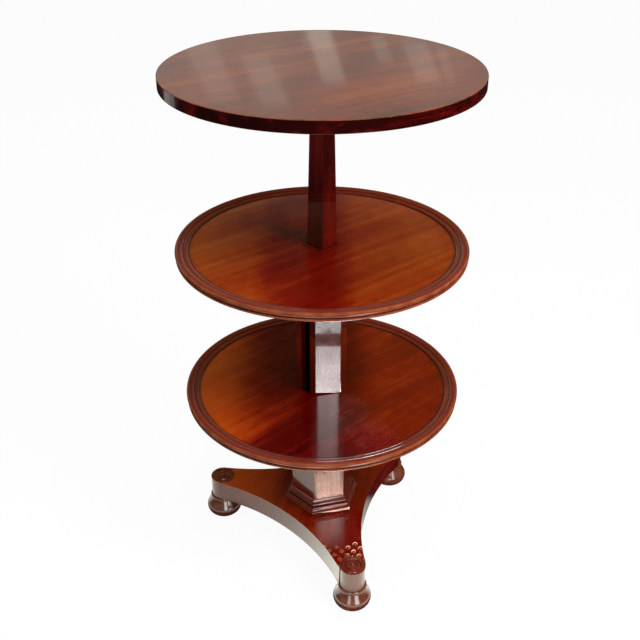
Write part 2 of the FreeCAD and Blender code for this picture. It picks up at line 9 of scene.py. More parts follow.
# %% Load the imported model
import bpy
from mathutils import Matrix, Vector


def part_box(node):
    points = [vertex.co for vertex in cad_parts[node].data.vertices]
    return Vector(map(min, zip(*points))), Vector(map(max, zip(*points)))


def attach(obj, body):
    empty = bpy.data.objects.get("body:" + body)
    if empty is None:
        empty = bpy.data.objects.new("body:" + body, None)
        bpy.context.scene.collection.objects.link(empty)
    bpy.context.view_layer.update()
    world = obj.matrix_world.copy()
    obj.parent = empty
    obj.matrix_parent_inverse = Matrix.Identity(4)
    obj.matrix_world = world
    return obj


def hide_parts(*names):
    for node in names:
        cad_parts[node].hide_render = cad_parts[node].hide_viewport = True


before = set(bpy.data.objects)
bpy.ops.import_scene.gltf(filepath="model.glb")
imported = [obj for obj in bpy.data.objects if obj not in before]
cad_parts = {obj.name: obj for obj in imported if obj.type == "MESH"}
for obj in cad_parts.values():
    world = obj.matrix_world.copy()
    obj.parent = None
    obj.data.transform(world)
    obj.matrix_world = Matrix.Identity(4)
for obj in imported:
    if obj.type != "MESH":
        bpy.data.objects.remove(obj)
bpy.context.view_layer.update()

# %% [markdown]
# ## The camera
#
# The photograph looks down at about 30 degrees from a standing person's eye height, a little to the left of
# the front foot. Guessing such a view by eye leaves the trays' ellipses wrong, so the lens, height and pitch
# were solved from the outlines of the three tiers and the feet, and are written down here as plain numbers.

# %% The camera
import math

import bpy
from mathutils import Matrix, Vector

scene = bpy.context.scene
lens = bpy.data.cameras.new("camera")
lens.lens = 52.1
lens.sensor_width = 36.0
camera = bpy.data.objects.new("camera", lens)
camera.location = (-0.4624, -1.6522, 1.5831)
camera.rotation_euler = (math.radians(59.77), 0.0, math.radians(-15.5))
scene.collection.objects.link(camera)
scene.camera = camera
scene.view_settings.view_transform = "Standard"
print("camera", tuple(round(v, 3) for v in camera.location), "lens", lens.lens)

# %% [markdown]
# ## Shader maths as Python
#
# Wood is a sum of many patterns, and a node tree for it soon gets hard to read. One small class wraps a
# socket, so that an expression on values adds its Math nodes, and one method adds any other node.

# %% Sockets that calculate


class Value:
    """A number that varies over a surface, and the Math nodes that its arithmetic makes."""

    def __init__(self, recipe, socket):
        self.recipe = recipe
        self.socket = socket

    def __add__(self, other):
        return self.recipe.maths("ADD", self, other)

    def __sub__(self, other):
        return self.recipe.maths("SUBTRACT", self, other)

    def __rsub__(self, other):
        return self.recipe.maths("SUBTRACT", other, self)

    def __mul__(self, other):
        return self.recipe.maths("MULTIPLY", self, other)

    def __truediv__(self, other):
        return self.recipe.maths("DIVIDE", self, other)

    __radd__ = __add__
    __rmul__ = __mul__


class Nodes:
    """A shader node tree, filled from Python."""

    def __init__(self, tree):
        self.tree = tree

    def add(self, kind, settings=None, inputs=None, output=0):
        node = self.tree.nodes.new(kind)
        for name, setting in (settings or {}).items():
            if name == "stops":
                self.set_stops(node.color_ramp, setting)
            else:
                setattr(node, name, setting)
        self.fill(node, inputs or {})
        return Value(self, node.outputs[output])

    def fill(self, node, inputs):
        """Give a node's inputs their numbers or links."""
        for place, value in inputs.items():
            if isinstance(value, Value):
                self.tree.links.new(value.socket, node.inputs[place])
            else:
                node.inputs[place].default_value = value

    def set_stops(self, ramp, stops):
        while len(ramp.elements) < len(stops):
            ramp.elements.new(1.0)
        for element, (position, colour) in zip(ramp.elements, stops):
            element.position = position
            element.color = (*colour, 1.0)

    def maths(self, operation, *numbers):
        return self.add("ShaderNodeMath", {"operation": operation}, dict(enumerate(numbers)))

    def place(self):
        return self.add("ShaderNodeTexCoord", output="Object")

    def parts(self, vector):
        split = self.add("ShaderNodeSeparateXYZ", inputs={0: vector}).socket.node
        return [Value(self, split.outputs[axis]) for axis in "XYZ"]

    def join(self, x, y, z):
        return self.add("ShaderNodeCombineXYZ", inputs={0: x, 1: y, 2: z})

    def stretched(self, vector, scales, turn=0.0, shift=(0.0, 0.0, 0.0)):
        inputs = {"Vector": vector, "Scale": scales, "Rotation": (0.0, 0.0, turn), "Location": shift}
        return self.add("ShaderNodeMapping", inputs=inputs)

    def noise(self, vector, scales, detail=2.0, roughness=0.5, shift=(0.0, 0.0, 0.0)):
        """Noise with so many lumps to the metre along x, y and z."""
        place = self.stretched(vector, scales, shift=shift)
        inputs = {"Vector": place, "Scale": 1.0, "Detail": detail, "Roughness": roughness}
        return self.add("ShaderNodeTexNoise", inputs=inputs)

    def step(self, value, low, high, out_low=0.0, out_high=1.0):
        """0 below low, 1 above high, and a smooth rise between them."""
        inputs = {"Value": value, "From Min": low, "From Max": high, "To Min": out_low, "To Max": out_high}
        return self.add("ShaderNodeMapRange", {"interpolation_type": "SMOOTHSTEP"}, inputs)

    def blend(self, factor, first, second, kind="MIX"):
        settings = {"data_type": "RGBA", "blend_type": kind}
        return self.add("ShaderNodeMix", settings, {0: factor, 6: first, 7: second}, output=2)

    def ramp(self, value, stops):
        return self.add("ShaderNodeValToRGB", {"stops": stops}, {0: value})

    def bump(self, height, strength, distance):
        inputs = {"Strength": strength, "Distance": distance, "Height": height}
        return self.add("ShaderNodeBump", inputs=inputs)


class Recipe(Nodes):
    """A material with its node tree."""

    def __init__(self, name, roughness=0.5):
        self.material = bpy.data.materials.new(name)
        self.material.use_nodes = True
        super().__init__(self.material.node_tree)
        self.shader = self.tree.nodes["Principled BSDF"]
        self.look({"Roughness": roughness})

    def look(self, inputs):
        """Set what the surface looks like by the names of the shader's inputs."""
        self.fill(self.shader, inputs)

    def surface(self, shader):
        """Show another shader in place of the usual one."""
        self.fill(self.tree.nodes["Material Output"], {"Surface": shader})


# %% [markdown]
# ## A plain studio
#
# The stand is shown on pure white with hardly a shadow. The floor is a pale plane whose colour goes nearly
# all the way to white for the camera and keeps a faint shadow. A soft lamp stands at the front right, since
# the right-hand faces of the column glow, and a larger one hangs above. The polish would mirror both as hard
# squares, so it doesn't see them.

# %% Floor, world and lamps
white = (1.0, 1.0, 1.0, 1.0)
floor_reach = 16.0
floor_mesh = bpy.data.meshes.new("floor")
signs = [(-1, -1), (1, -1), (1, 1), (-1, 1)]
floor_mesh.from_pydata([(x * floor_reach, y * floor_reach, 0.0) for x, y in signs], [], [(0, 1, 2, 3)])
floor = bpy.data.objects.new("floor", floor_mesh)
scene.collection.objects.link(floor)

floor_whiteness = 0.95
floor_paint = Recipe("floor_paint", roughness=0.9)
floor_paint.look({"Base Color": (0.86, 0.86, 0.86, 1.0), "Specular IOR Level": 0.0})
glow = floor_paint.add("ShaderNodeEmission", inputs={"Color": white, "Strength": 1.0})
seen = floor_paint.add("ShaderNodeLightPath", output="Is Camera Ray")
painted = Value(floor_paint, floor_paint.shader.outputs["BSDF"])
mixed = floor_paint.add("ShaderNodeMixShader", inputs={0: seen * floor_whiteness, 1: painted, 2: glow})
floor_paint.surface(mixed)
floor_mesh.materials.append(floor_paint.material)

room_light = 0.42
scene.world = bpy.data.worlds.new("studio")
scene.world.use_nodes = True
sky = Nodes(scene.world.node_tree)
rays = {kind: sky.add("ShaderNodeLightPath", output=f"Is {kind} Ray")
        for kind in ("Camera", "Glossy", "Transmission")}
polish_or_glass = sky.maths("MAXIMUM", rays["Glossy"], rays["Transmission"])
backdrop = sky.maths("MAXIMUM", rays["Camera"], polish_or_glass)
level = sky.add("ShaderNodeMapRange", inputs={"Value": backdrop, "To Min": room_light, "To Max": 1.0})
sky.fill(sky.tree.nodes["Background"], {"Strength": level, "Color": white})


def soft_lamp(name, place, aim, size, power):
    """A square soft lamp at a place, turned towards the aim."""
    light = bpy.data.lights.new(name, "AREA")
    light.shape = "SQUARE"
    light.size = size
    light.energy = power
    lamp = bpy.data.objects.new(name, light)
    lamp.location = place
    lamp.rotation_euler = (Vector(aim) - Vector(place)).to_track_quat("-Z", "Y").to_euler()
    lamp.visible_glossy = False
    scene.collection.objects.link(lamp)


soft_lamp("key_right", (1.25, -1.75, 2.6), (0.0, 0.0, 0.6), 0.9, 85.0)
soft_lamp("top_fill", (-0.4, -0.3, 3.2), (0.0, 0.0, 0.9), 1.8, 44.0)

# %% [markdown]
# ## What the polish mirrors
#
# French polish is a mirror over dark wood, so what it reflects matters as much as its colour. The real room
# had pale walls with windows behind the stand, which veil the top with grey streaks, a dim ceiling, which
# leaves the trays their deep colour, and a bright floor, which turns the column's front face nearly white.
# A large shell plays the room. Only glossy rays see it, so it casts no light or shadow on the stand.

# %% A room for the polish alone
hall_radius = 12.0
hall_height = 9.0
bare_floor_radius = 0.11
wall_top = 5.6
floor_skin = 0.001
ceiling_hole = 0.5


def reflection_only(obj):
    obj.visible_camera = False
    obj.visible_diffuse = False
    obj.visible_transmission = False
    obj.visible_volume_scatter = False
    obj.visible_shadow = False


def ring_mesh(name, profile, sides):
    """Rings of a shell through r, z points, seen from inside."""
    points, faces = [], []
    for ring, (r, z) in enumerate(profile):
        low, high = (ring - 1) * sides, ring * sides
        for k in range(sides):
            a = 2 * math.pi * k / sides
            points.append((r * math.cos(a), r * math.sin(a), z))
            if ring:
                faces.append((low + k, high + k, high + (k + 1) % sides, low + (k + 1) % sides))
    mesh = bpy.data.meshes.new(name)
    mesh.from_pydata(points, [], faces)
    return mesh


hall_line = [(bare_floor_radius, floor_skin), (hall_radius, floor_skin), (hall_radius, hall_height),
             (ceiling_hole, hall_height)]
hall = bpy.data.objects.new("hall", ring_mesh("hall", hall_line, 96))
scene.collection.objects.link(hall)
reflection_only(hall)

hall_paint = Recipe("hall_paint")
here = hall_paint.place()
east, north, up = hall_paint.parts(here)
bearing = hall_paint.maths("ARCTAN2", east, north) * (180 / math.pi)
away = hall_paint.maths("SQRT", east * east + north * north)
rise = up * hall_radius / away
wall = hall_paint.step(rise, 0.3, 3.2) * (1 - hall_paint.step(rise, wall_top - 0.25, wall_top + 0.25))
mist = hall_paint.noise(here, (0.5, 0.5, 0.16), detail=3.0)
light = wall * hall_paint.step(mist, 0.25, 0.75, 0.23, 0.36)
light = light * hall_paint.step(bearing, 5.0, 24.0, 1.08, 0.80)
print("hall", 2 * hall_radius, "m across with walls up to", wall_top, "m")

# %% Windows that streak the top
# Each has a bearing from the back, a height, half a width in degrees, half a height, a lean and a brightness
windows = [
    (15.9, 4.14, 0.85, 0.42, 1.5, 0.30),
    (15.2, 3.86, 1.0, 0.16, 0.0, 0.12),
    (7.8, 4.34, 1.1, 0.48, 1.9, 0.12),
    (11.6, 4.54, 1.0, 0.40, 1.9, 0.15),
    (19.8, 4.06, 0.55, 0.20, 2.0, 0.15),
    (22.6, 4.22, 0.85, 0.30, 2.2, 0.17),
    (24.3, 4.25, 0.35, 0.24, 2.0, 0.10),
    (14.0, 5.92, 1.2, 0.12, 1.5, 0.10),
    (23.6, 6.40, 1.3, 0.45, 1.5, 0.14),
]
for middle, height, half_width, half_height, lean, brightness in windows:
    across = (bearing - middle - (rise - height) * lean) / half_width
    along = (rise - height) / half_height
    spot = (1 - hall_paint.step(across * across, 0.3, 1.6)) * (1 - hall_paint.step(along * along, 0.4, 1.5))
    light = light + spot * brightness
print("windows", len(windows))

# %% [markdown]
# ## The floor that the feet mirror
#
# The feet and the platform's hollow side mirror the floor round the stand, and their pale bands come from
# it. It is bright to the left and in front, dark in a pool round the front and left feet, whose necks stay
# brown, and dark below the stand's right side, but for one patch that the right foot mirrors.

# %% Ceiling and lit floor


def beyond_spot(x, y, near_squared, far_squared):
    """0 round a spot on the hall's floor and 1 further off."""
    off_x, off_y = east - x, north - y
    return hall_paint.step(off_x * off_x + off_y * off_y, near_squared, far_squared)


ceiling = hall_paint.step(rise, wall_top - 0.2, wall_top + 0.4)
tint = hall_paint.blend(ceiling, (1.0, 0.99, 0.88, 1.0), (1.0, 0.50, 0.05, 1.0))
beside = (bearing - 13.5) / 7.0
lamplight = hall_paint.step(beside * beside, 0.10, 1.0, 0.02, 0.15)
on_floor = 1 - hall_paint.step(up, 0.0015, 0.01)
near_floor = on_floor * (1 - hall_paint.step(away, 0.44, 0.62))
to_back_right = east * 0.85 + north * 0.53
near_floor = near_floor * (1 - hall_paint.step(to_back_right, -0.08, 0.12))
near_floor = near_floor * hall_paint.step(north, -0.15, 0.05, 0.9, 0.50)
for foot_x, foot_y in ((0.0, -0.251), (-0.2174, 0.1255)):
    near_floor = near_floor * beyond_spot(foot_x, foot_y, 0.0036, 0.0090)
right_patch = on_floor * (1 - beyond_spot(0.140, -0.030, 0.0025, 0.0090))
floor_light = right_patch * 0.38 + near_floor * 1.9
tint = hall_paint.blend(hall_paint.step(floor_light, 0.0, 0.6), tint, (0.97, 0.98, 0.84, 1.0))
light = light + ceiling * lamplight + floor_light + 0.012
hall_paint.surface(hall_paint.add("ShaderNodeEmission", inputs={"Color": tint, "Strength": light}))
hall.data.materials.append(hall_paint.material)
print("hall paint has", len(hall_paint.tree.nodes), "nodes")

# %% [markdown]
# ## Sheets and cards in the polish
#
# The column's front face mirrors the ground just before it, so bright sheets lie there: on the floor, on the
# lower tray and on the platform's arm. Seen from low down they would flash in the other faces. They are
# therefore cut into slats that lean away, like a blind, and only a steep look finds their bright side.
# Upright cards give each foot its streaks, and two stand before the columns, whose images in the polish are
# pale. The card of the middle column rides with it, or it would poke through the top of the lowered stand.

# %% Lay the sheets and stand the cards
slat_count = 48
faintest, brightest = 7.0, 10.0


def pale_sheet(name, place, along, across, stops, tint=white, edge=0.45, slope=0.0, gain=1.0):
    """A glowing sheet that starts at a place and reaches along one way, bright on one side alone.

    edge is where it starts to dim across, slope how steeply its slats lean, and gain makes up for them."""
    slats = slat_count if slope else 1
    along, across = Vector(along), Vector(across)
    lift = slope * along.length / slats
    points = []
    for k in range(slats):
        near, far = k / slats, (k + 1) / slats
        points += [(near, -1, lift), (far, -1, 0), (far, 1, 0), (near, 1, lift)]
    mesh = bpy.data.meshes.new(name)
    mesh.from_pydata(points, [], [tuple(range(4 * k, 4 * k + 4)) for k in range(slats)])
    sheet = bpy.data.objects.new(name, mesh)
    axes = Matrix((along, across, along.cross(across).normalized())).transposed().to_4x4()
    sheet.matrix_world = Matrix.Translation(place) @ axes
    scene.collection.objects.link(sheet)
    reflection_only(sheet)
    paint = Recipe(name + "_paint")
    reach, side, _ = paint.parts(paint.place())
    tone = paint.ramp(reach, [(share, (b, b, b)) for share, b in stops])
    soft = 1 - paint.step(side * side, edge, 1.0)
    cloud = paint.noise(paint.place(), (3.0, 1.0, 1.0), detail=3.0)
    strength = tone * soft * paint.step(cloud, 0.2, 0.8, faintest * gain, brightest * gain)
    glow = paint.add("ShaderNodeEmission", inputs={"Color": tint, "Strength": strength})
    clear = paint.add("ShaderNodeBsdfTransparent")
    under = paint.add("ShaderNodeNewGeometry", output="Backfacing")
    one_sided = paint.add("ShaderNodeMixShader", inputs={0: under, 1: glow, 2: clear})
    paint.surface(one_sided)
    mesh.materials.append(paint.material)
    return sheet


def floor_sheet(name, degrees, near, far, half_width, height, stops, **looks):
    """A pale sheet that lies flat and runs outwards from the stand, between two distances from its axis."""
    a = math.radians(degrees)
    out, side = Vector((math.sin(a), -math.cos(a), 0)), Vector((math.cos(a), math.sin(a), 0))
    start = (*(out * near).xy, height)
    return pale_sheet(name, start, out * (far - near), side * half_width, stops, **looks)


def card(name, place, tall, across, stops, **looks):
    """A pale sheet that stands upright."""
    return pale_sheet(name, place, (0.0, 0.0, tall), (*across, 0.0), stops, **looks)


cream = (1.0, 0.86, 0.76, 1.0)
blush = (1.0, 0.70, 0.56, 1.0)
ground, tray_face, arm_face = 0.003, 0.4235, 0.1055
sheets = [
    floor_sheet("front_floor_sheet", 16.0, 0.80, 1.40, 0.17, ground,
                [(0.0, 0.39), (0.4, 0.47), (1.0, 0.45)], slope=0.33, gain=2.4),
    floor_sheet("tray_sheet", 14.5, 0.052, 0.244, 0.050, tray_face,
                [(0.0, 0.75), (0.5, 0.68), (1.0, 0.56)], slope=0.37, gain=2.3),
    floor_sheet("arm_sheet", 9.0, 0.078, 0.222, 0.040, arm_face,
                [(0.0, 0.89), (0.4, 0.60), (1.0, 0.46)], tint=blush, slope=0.50, gain=2.5),
    floor_sheet("left_sheet", 283.0, 0.40, 0.66, 0.20, ground,
                [(0.0, 0.0), (0.6, 0.05), (1.0, 0.04)], tint=blush),
    floor_sheet("left_far_sheet", 282.0, 1.32, 1.8, 0.30, ground,
                [(0.0, 0.1), (0.2, 0.3), (1.0, 0.3)], tint=blush),
    floor_sheet("far_left_sheet", 220.0, 3.2, 5.4, 0.70, ground, [(0.0, 0.04), (1.0, 0.08)]),
    card("base_card", (0.004, -0.0628, 0.130), 0.22, (-0.042, 0.0),
         [(0.0, 0.15), (0.25, 0.10), (0.5, 0.0)], tint=cream, edge=0.05),
]
foot_cards = [
    ("front_foot_card", 0.069, -0.582, (0.088, 0.021), 0.75, 0.85),
    ("front_foot_slit", -0.182, -0.529, (0.051, -0.039), 0.40, 0.50),
    ("right_foot_card", 0.270, -0.170, (0.055, 0.0), 0.50, 0.60),
    ("left_foot_card", -0.235, -0.200, (0.075, 0.0), 0.60, 0.70),
]
card_foot, card_height = 0.030, 0.24
for name, x, y, across, low_tone, high_tone in foot_cards:
    stops = [(0.0, low_tone), (1.0, high_tone)]
    sheets.append(card(name, (x, y, card_foot), card_height, across, stops, edge=0.1))
column_card = card("column_card", (0.0, -0.0503, 0.4238), 0.30, (-0.0275, 0.0),
                   [(0.0, 0.135), (0.5, 0.08), (1.0, 0.03)])
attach(column_card, "middle_stage")
print("the polish mirrors a hall with", len(windows), "windows and", len(sheets) + 1, "pale sheets")

# %% [markdown]
# ## Mahogany
#
# Cuban mahogany under shellac is a clear orange-brown that turns deep red where the fibres dip away from
# the eye. The pattern has layers at their real sizes: broad clouds of a hand's width, ribbons of a finger's
# width along the grain, fine fibre, and dark pores a few millimetres long. All of them are noise in Object
# coordinates, stretched along the grain. A bitmap would be quicker, but it can't turn with each board.

# %% The wood recipe
maroon = (0.018, 0.0004, 0.0003)
oxblood = (0.085, 0.0006, 0.0005)
russet = (0.180, 0.0035, 0.0007)
amber = (0.280, 0.028, 0.0016)
pale_amber = (0.380, 0.075, 0.0080)
walnut = (0.105, 0.058, 0.032, 1.0)
painted_light_gold = (0.62, 0.072, 0.004, 1.0)
red_stain = (0.62, 0.20, 0.32, 1.0)
corner_dark_colour = (0.012, 0.0030, 0.0014, 1.0)
rubbed_and_highlit_wood = (0.44, 0.130, 0.040, 1.0)


def plank(turn=0.0, shift=(0.0, 0.0, 0.0)):
    """Grain that lies flat and runs at an angle from +X."""
    def along(recipe):
        return recipe.stretched(recipe.place(), (1.0, 1.0, 1.0), -math.radians(turn), shift)
    return along


def upright(recipe):
    """Grain that runs up a post, a stave or a turned foot."""
    x, y, z = recipe.parts(recipe.place())
    return recipe.join(z, x, y)


def round_the_rim(recipe):
    """Grain that follows a ring glued up from six curved lengths, each from its own stick."""
    x, y, z = recipe.parts(recipe.place())
    angle = recipe.maths("ARCTAN2", y, x) / math.pi * 3 + 3.37
    stick = recipe.maths("FLOOR", angle)
    radius = recipe.maths("SQRT", x * x + y * y)
    return recipe.join(angle * 0.3, radius + stick * 0.37, z)


def mahogany(name, along, tone=0.5, contrast=1.0, red=0.5, brown=0.0, painted_light_orange=None, coat=1.0, haze=0.035,
             ripple=0.35, edge=None, corner_darkening=None, painted_light_tone=None):
    """French polished mahogany. Its brown, edge, corner darkening and painted light can be masks by place.
    """
    recipe = Recipe(name, roughness=0.3)
    grain = along(recipe)
    drift = recipe.noise(grain, (2.2, 5.0, 5.0), detail=1.0)
    gx, gy, gz = recipe.parts(grain)
    bent = recipe.join(gx, gy + (drift - 0.5) * 0.05, gz)
    cloud = recipe.noise(bent, (2.6, 9.0, 9.0), detail=2.0, roughness=0.45)
    ribbon = recipe.noise(bent, (2.4, 58.0, 58.0), detail=2.0, roughness=0.55)
    mottle = recipe.noise(bent, (34.0, 30.0, 30.0))
    fibre = recipe.noise(bent, (22.0, 620.0, 620.0))
    pores = recipe.noise(bent, (150.0, 1900.0, 1900.0), detail=0.0)
    value = (tone + (cloud - 0.5) * (0.85 * contrast) + (ribbon - 0.5) * (0.75 * contrast)
             + (mottle - 0.5) * (0.26 * contrast) + (fibre - 0.5) * 0.26)
    # Painted light and shade: the tone is lifted where light falls and lowered where shade falls.
    if painted_light_tone:
        value = value + painted_light_tone(recipe)
    colours = [(0.08, maroon), (0.30, oxblood), (0.52, russet), (0.74, amber), (0.98, pale_amber)]
    wood = recipe.ramp(value, colours)
    wood = recipe.blend(brown(recipe) if callable(brown) else brown, wood, walnut)
    # Painted light: oranger where light falls.
    if painted_light_orange:
        wood = recipe.blend(painted_light_orange(recipe) * recipe.step(value, 0.3, 0.9), wood, painted_light_gold)
    stain = recipe.noise(grain, (5.0, 9.0, 9.0), shift=(3.1, 1.7, 0.4))
    reddened = recipe.blend(recipe.step(stain, 0.52, 0.70) * red, wood, red_stain, "MULTIPLY")
    flecks = recipe.step(pores, 0.60, 0.70) * recipe.step(ribbon, 0.35, 0.65, 0.25, 0.62)
    colour = recipe.blend(flecks, reddened, (*maroon, 1.0))
    rough = 0.16 + (mottle - 0.5) * 0.10 + flecks * 0.2
    # Darker where a mask says, in corners and creases.
    if corner_darkening:
        darkening = corner_darkening(recipe)
        colour = recipe.blend(darkening * 0.75, colour, corner_dark_colour)
        rough = rough + darkening * 0.25
    # Lighter on edges: rubbed thin, and a painted highlight.
    if edge:
        wear_and_highlight = edge(recipe) * recipe.step(mottle, 0.30, 0.62, 0.35, 1.0)
        colour = recipe.blend(wear_and_highlight * 0.40, colour, rubbed_and_highlit_wood)
        rough = rough + wear_and_highlight * 0.10
    waves = recipe.noise(grain, (9.0, 26.0, 26.0))
    height = waves * 0.7 + fibre * 0.12 - flecks * 0.10
    recipe.look({"Base Color": colour, "Roughness": rough, "Normal": recipe.bump(height, ripple, 0.0006),
                 "IOR": 1.5, "Coat Weight": coat, "Coat Roughness": haze, "Coat IOR": 1.5})
    return recipe.material


# %% [markdown]
# ## Painted light and rubbing by place
#
# Nothing is even. The polish is rubbed thin on edges, which also carry a painted highlight, and corners are
# darker. The trays carry painted shade, deep where the tier above shades them, and painted light beyond. The
# post's left faces and the platform's top carry painted light, paler up the post and to the left. A mask for
# each of these reads the place on the piece, in metres from the column's axis and from the floor.

# %% Masks by place


def from_axis(recipe):
    x, y, _ = recipe.parts(recipe.place())
    return recipe.maths("SQRT", x * x + y * y)


def near_radius(radius, reach):
    """Mask that rises to 1 within a reach of a radius from the column's axis."""
    def mask(recipe):
        off = recipe.maths("ABSOLUTE", from_axis(recipe) - radius)
        return 1 - recipe.step(off, 0.0, reach)
    return mask


def top_arrises(recipe):
    """Mask of the top's two arrises, where the colour has rubbed thin and a painted highlight lightens it.
    """
    _, _, z = recipe.parts(recipe.place())
    lower, upper = (recipe.maths("ABSOLUTE", z - level) for level in (1.0998, 1.1226))
    near = recipe.maths("MINIMUM", lower, upper)
    return near_radius(0.305, 0.0016)(recipe) * (1 - recipe.step(near, 0.0002, 0.0011))


def upright_side(on_face, on_side):
    """A value by place: one on the top's face and another on its upright side."""
    return lambda recipe: recipe.step(from_axis(recipe), 0.3040, 0.3048, on_face, on_side)


view_cos, view_sin = 0.964, 0.267  # of the camera's bearing of 15.5 degrees


def tray_painted_shade(middle, half, lift, front_lift, back_lift, slant):
    """Painted shade and painted light by place on a tray as the camera sees it.

    A belt about the middle, where the tier above shades it, is painted deeper by the lift and the rest
    paler.
    Front and back have painted lifts of their own, and the slant paints the right darker."""
    def mask(recipe):
        x, y, _ = recipe.parts(recipe.place())
        side = x * view_cos - y * view_sin
        depth = x * view_sin + y * view_cos
        off = (side - middle) / half
        belt = recipe.step(off * off, 0.15, 1.6, -lift, lift)
        front = recipe.step(depth, -0.27, -0.13, front_lift, 0.0)
        back = recipe.step(depth, 0.08, 0.20, 0.0, back_lift)
        return belt + (front + back) - side * slant
    return mask


def toward_left(full, none, most):
    """Mask that falls from its most at one x, further left, to nothing at another."""
    return lambda recipe: recipe.step(recipe.parts(recipe.place())[0], full, none, most, 0.0)


def on_top(mask, extra):
    """A mask, plus an extra, on the platform's top face alone."""
    def value(recipe):
        face = recipe.step(recipe.parts(recipe.place())[2], 0.1032, 0.1040)
        return (mask(recipe) + extra) * face
    return value


def post_painted_light(recipe):
    """Painted light by height on the post's left faces: paler at the top and darker towards the tray."""
    x, y, z = recipe.parts(recipe.place())
    left = 1 - recipe.step(x * 0.866 + y * 0.5, -0.0155, -0.0125)
    return left * recipe.step(z, 0.80, 1.08, -0.14, 0.22) + 0.04


print("masks turned by", round(math.degrees(math.atan2(view_sin, view_cos)), 1), "degrees for the trays")

# %% One wood for each kind of piece
tray_corner = near_radius(0.272, 0.009)
# Painted shade: the top's upright side is toned darker than its face; its arrises are rubbed thin and carry
# a painted highlight.
top_wood = mahogany("top_mahogany", plank(20.0, (0.0, 0.0, 0.3)), tone=0.56, contrast=1.25, red=0.2,
                    brown=upright_side(0.5, 0.0), edge=top_arrises, painted_light_tone=upright_side(0.0, -0.36))
# Painted shade and painted light: a deep belt where the top shades the middle tray, paler beyond; darker in
# the corner by the rim.
tray_wood = mahogany("tray_mahogany", plank(24.0), tone=0.53, contrast=0.60, red=0.1, corner_darkening=tray_corner,
                     painted_light_tone=tray_painted_shade(-0.035, 0.085, 0.14, 0.10, 0.16, 0.25))
# Painted shade and painted light: a deep belt where the tier above shades the lower tray, paler and oranger
# to the left; darker in the corner by the rim.
low_tray_wood = mahogany("low_tray_mahogany", plank(27.0, (0.6, 0.2, 0.0)), tone=0.50, contrast=0.70,
                         red=0.1, corner_darkening=tray_corner, painted_light_orange=toward_left(-0.20, -0.02, 0.4),
                         painted_light_tone=tray_painted_shade(-0.04, 0.14, 0.15, -0.10, -0.05, 0.70))
# The rim's nose is lighter, rubbed thin and with a painted highlight, and a darker line runs in its inner
# step.
rim_wood = mahogany("rim_mahogany", round_the_rim, tone=0.54, contrast=0.5, red=0.0, brown=0.3, coat=0.3,
                    edge=near_radius(0.2980, 0.003), corner_darkening=near_radius(0.2815, 0.0016))
column_wood = mahogany("column_mahogany", upright, tone=0.34, contrast=0.5, red=0.2, ripple=0.15)
# The column's wood again for the post, with painted light: its left faces paler at the top, darker at the
# tray.
post_wood_painted_light = mahogany("post_mahogany_painted_light", upright, tone=0.34, contrast=0.5, red=0.2, ripple=0.15,
                     painted_light_tone=post_painted_light)
# Painted light: the platform's top face is a little paler than its sides, and paler and oranger towards the
# left.
platform_wood = mahogany("platform_mahogany", plank(62.0, (0.4, 0.0, 0.0)), tone=0.36, contrast=0.6,
                         red=0.0, painted_light_orange=on_top(toward_left(-0.18, -0.02, 0.9), 0.0),
                         painted_light_tone=on_top(toward_left(-0.18, 0.02, 0.42), 0.08))
turned_wood = mahogany("turned_mahogany", upright, tone=0.66, contrast=0.9, red=0.0, brown=0.55)
print("mahogany recipes:", len([m for m in bpy.data.materials if "mahogany" in m.name]))

# %% [markdown]
# ## Bare wood underneath, and brass
#
# Nobody polished what nobody sees. Battens, guides and blocks are oiled mahogany, duller and browner, with
# open grain. The screws and plates are yellow brass that has gone brown in patches.

# %% Oiled wood and aged brass


def oiled_wood(name, along):
    recipe = Recipe(name, roughness=0.55)
    grain = along(recipe)
    ribbon = recipe.noise(grain, (4.0, 60.0, 60.0), detail=3.0)
    fibre = recipe.noise(grain, (26.0, 700.0, 700.0))
    stops = [(0.25, (0.050, 0.014, 0.006)), (0.55, (0.125, 0.042, 0.017)), (0.85, (0.230, 0.095, 0.042))]
    recipe.look({"Base Color": recipe.ramp(ribbon * 0.6 + fibre * 0.4, stops),
                 "Roughness": 0.42 + fibre * 0.25, "Normal": recipe.bump(fibre, 0.4, 0.0003)})
    return recipe.material


def aged_brass():
    recipe = Recipe("aged_brass", roughness=0.35)
    here = recipe.place()
    patina = recipe.noise(here, (160.0, 160.0, 160.0), detail=4.0, roughness=0.6)
    scratches = recipe.noise(here, (500.0, 2600.0, 900.0), detail=1.0)
    stops = [(0.30, (0.115, 0.060, 0.022)), (0.52, (0.420, 0.255, 0.085)), (0.75, (0.640, 0.430, 0.160))]
    recipe.look({"Base Color": recipe.ramp(patina, stops),
                 "Roughness": 0.52 - patina * 0.3 + scratches * 0.12,
                 "Normal": recipe.bump(scratches, 0.25, 0.0001), "Metallic": 1.0})
    return recipe.material


oiled_flat = oiled_wood("oiled_flat", plank(0.0))
oiled_upright = oiled_wood("oiled_upright", upright)
oiled_top = oiled_wood("oiled_top", plank(30.0))
brass = aged_brass()
print("underside wood and", brass.name)

# %% [markdown]
# ## Dressing the flat joinery
#
# Staves, stiles, boards and battens have flat faces and small eased corners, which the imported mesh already
# shows well. They keep it. Each gets wood whose grain runs the way the joiner would have cut it.

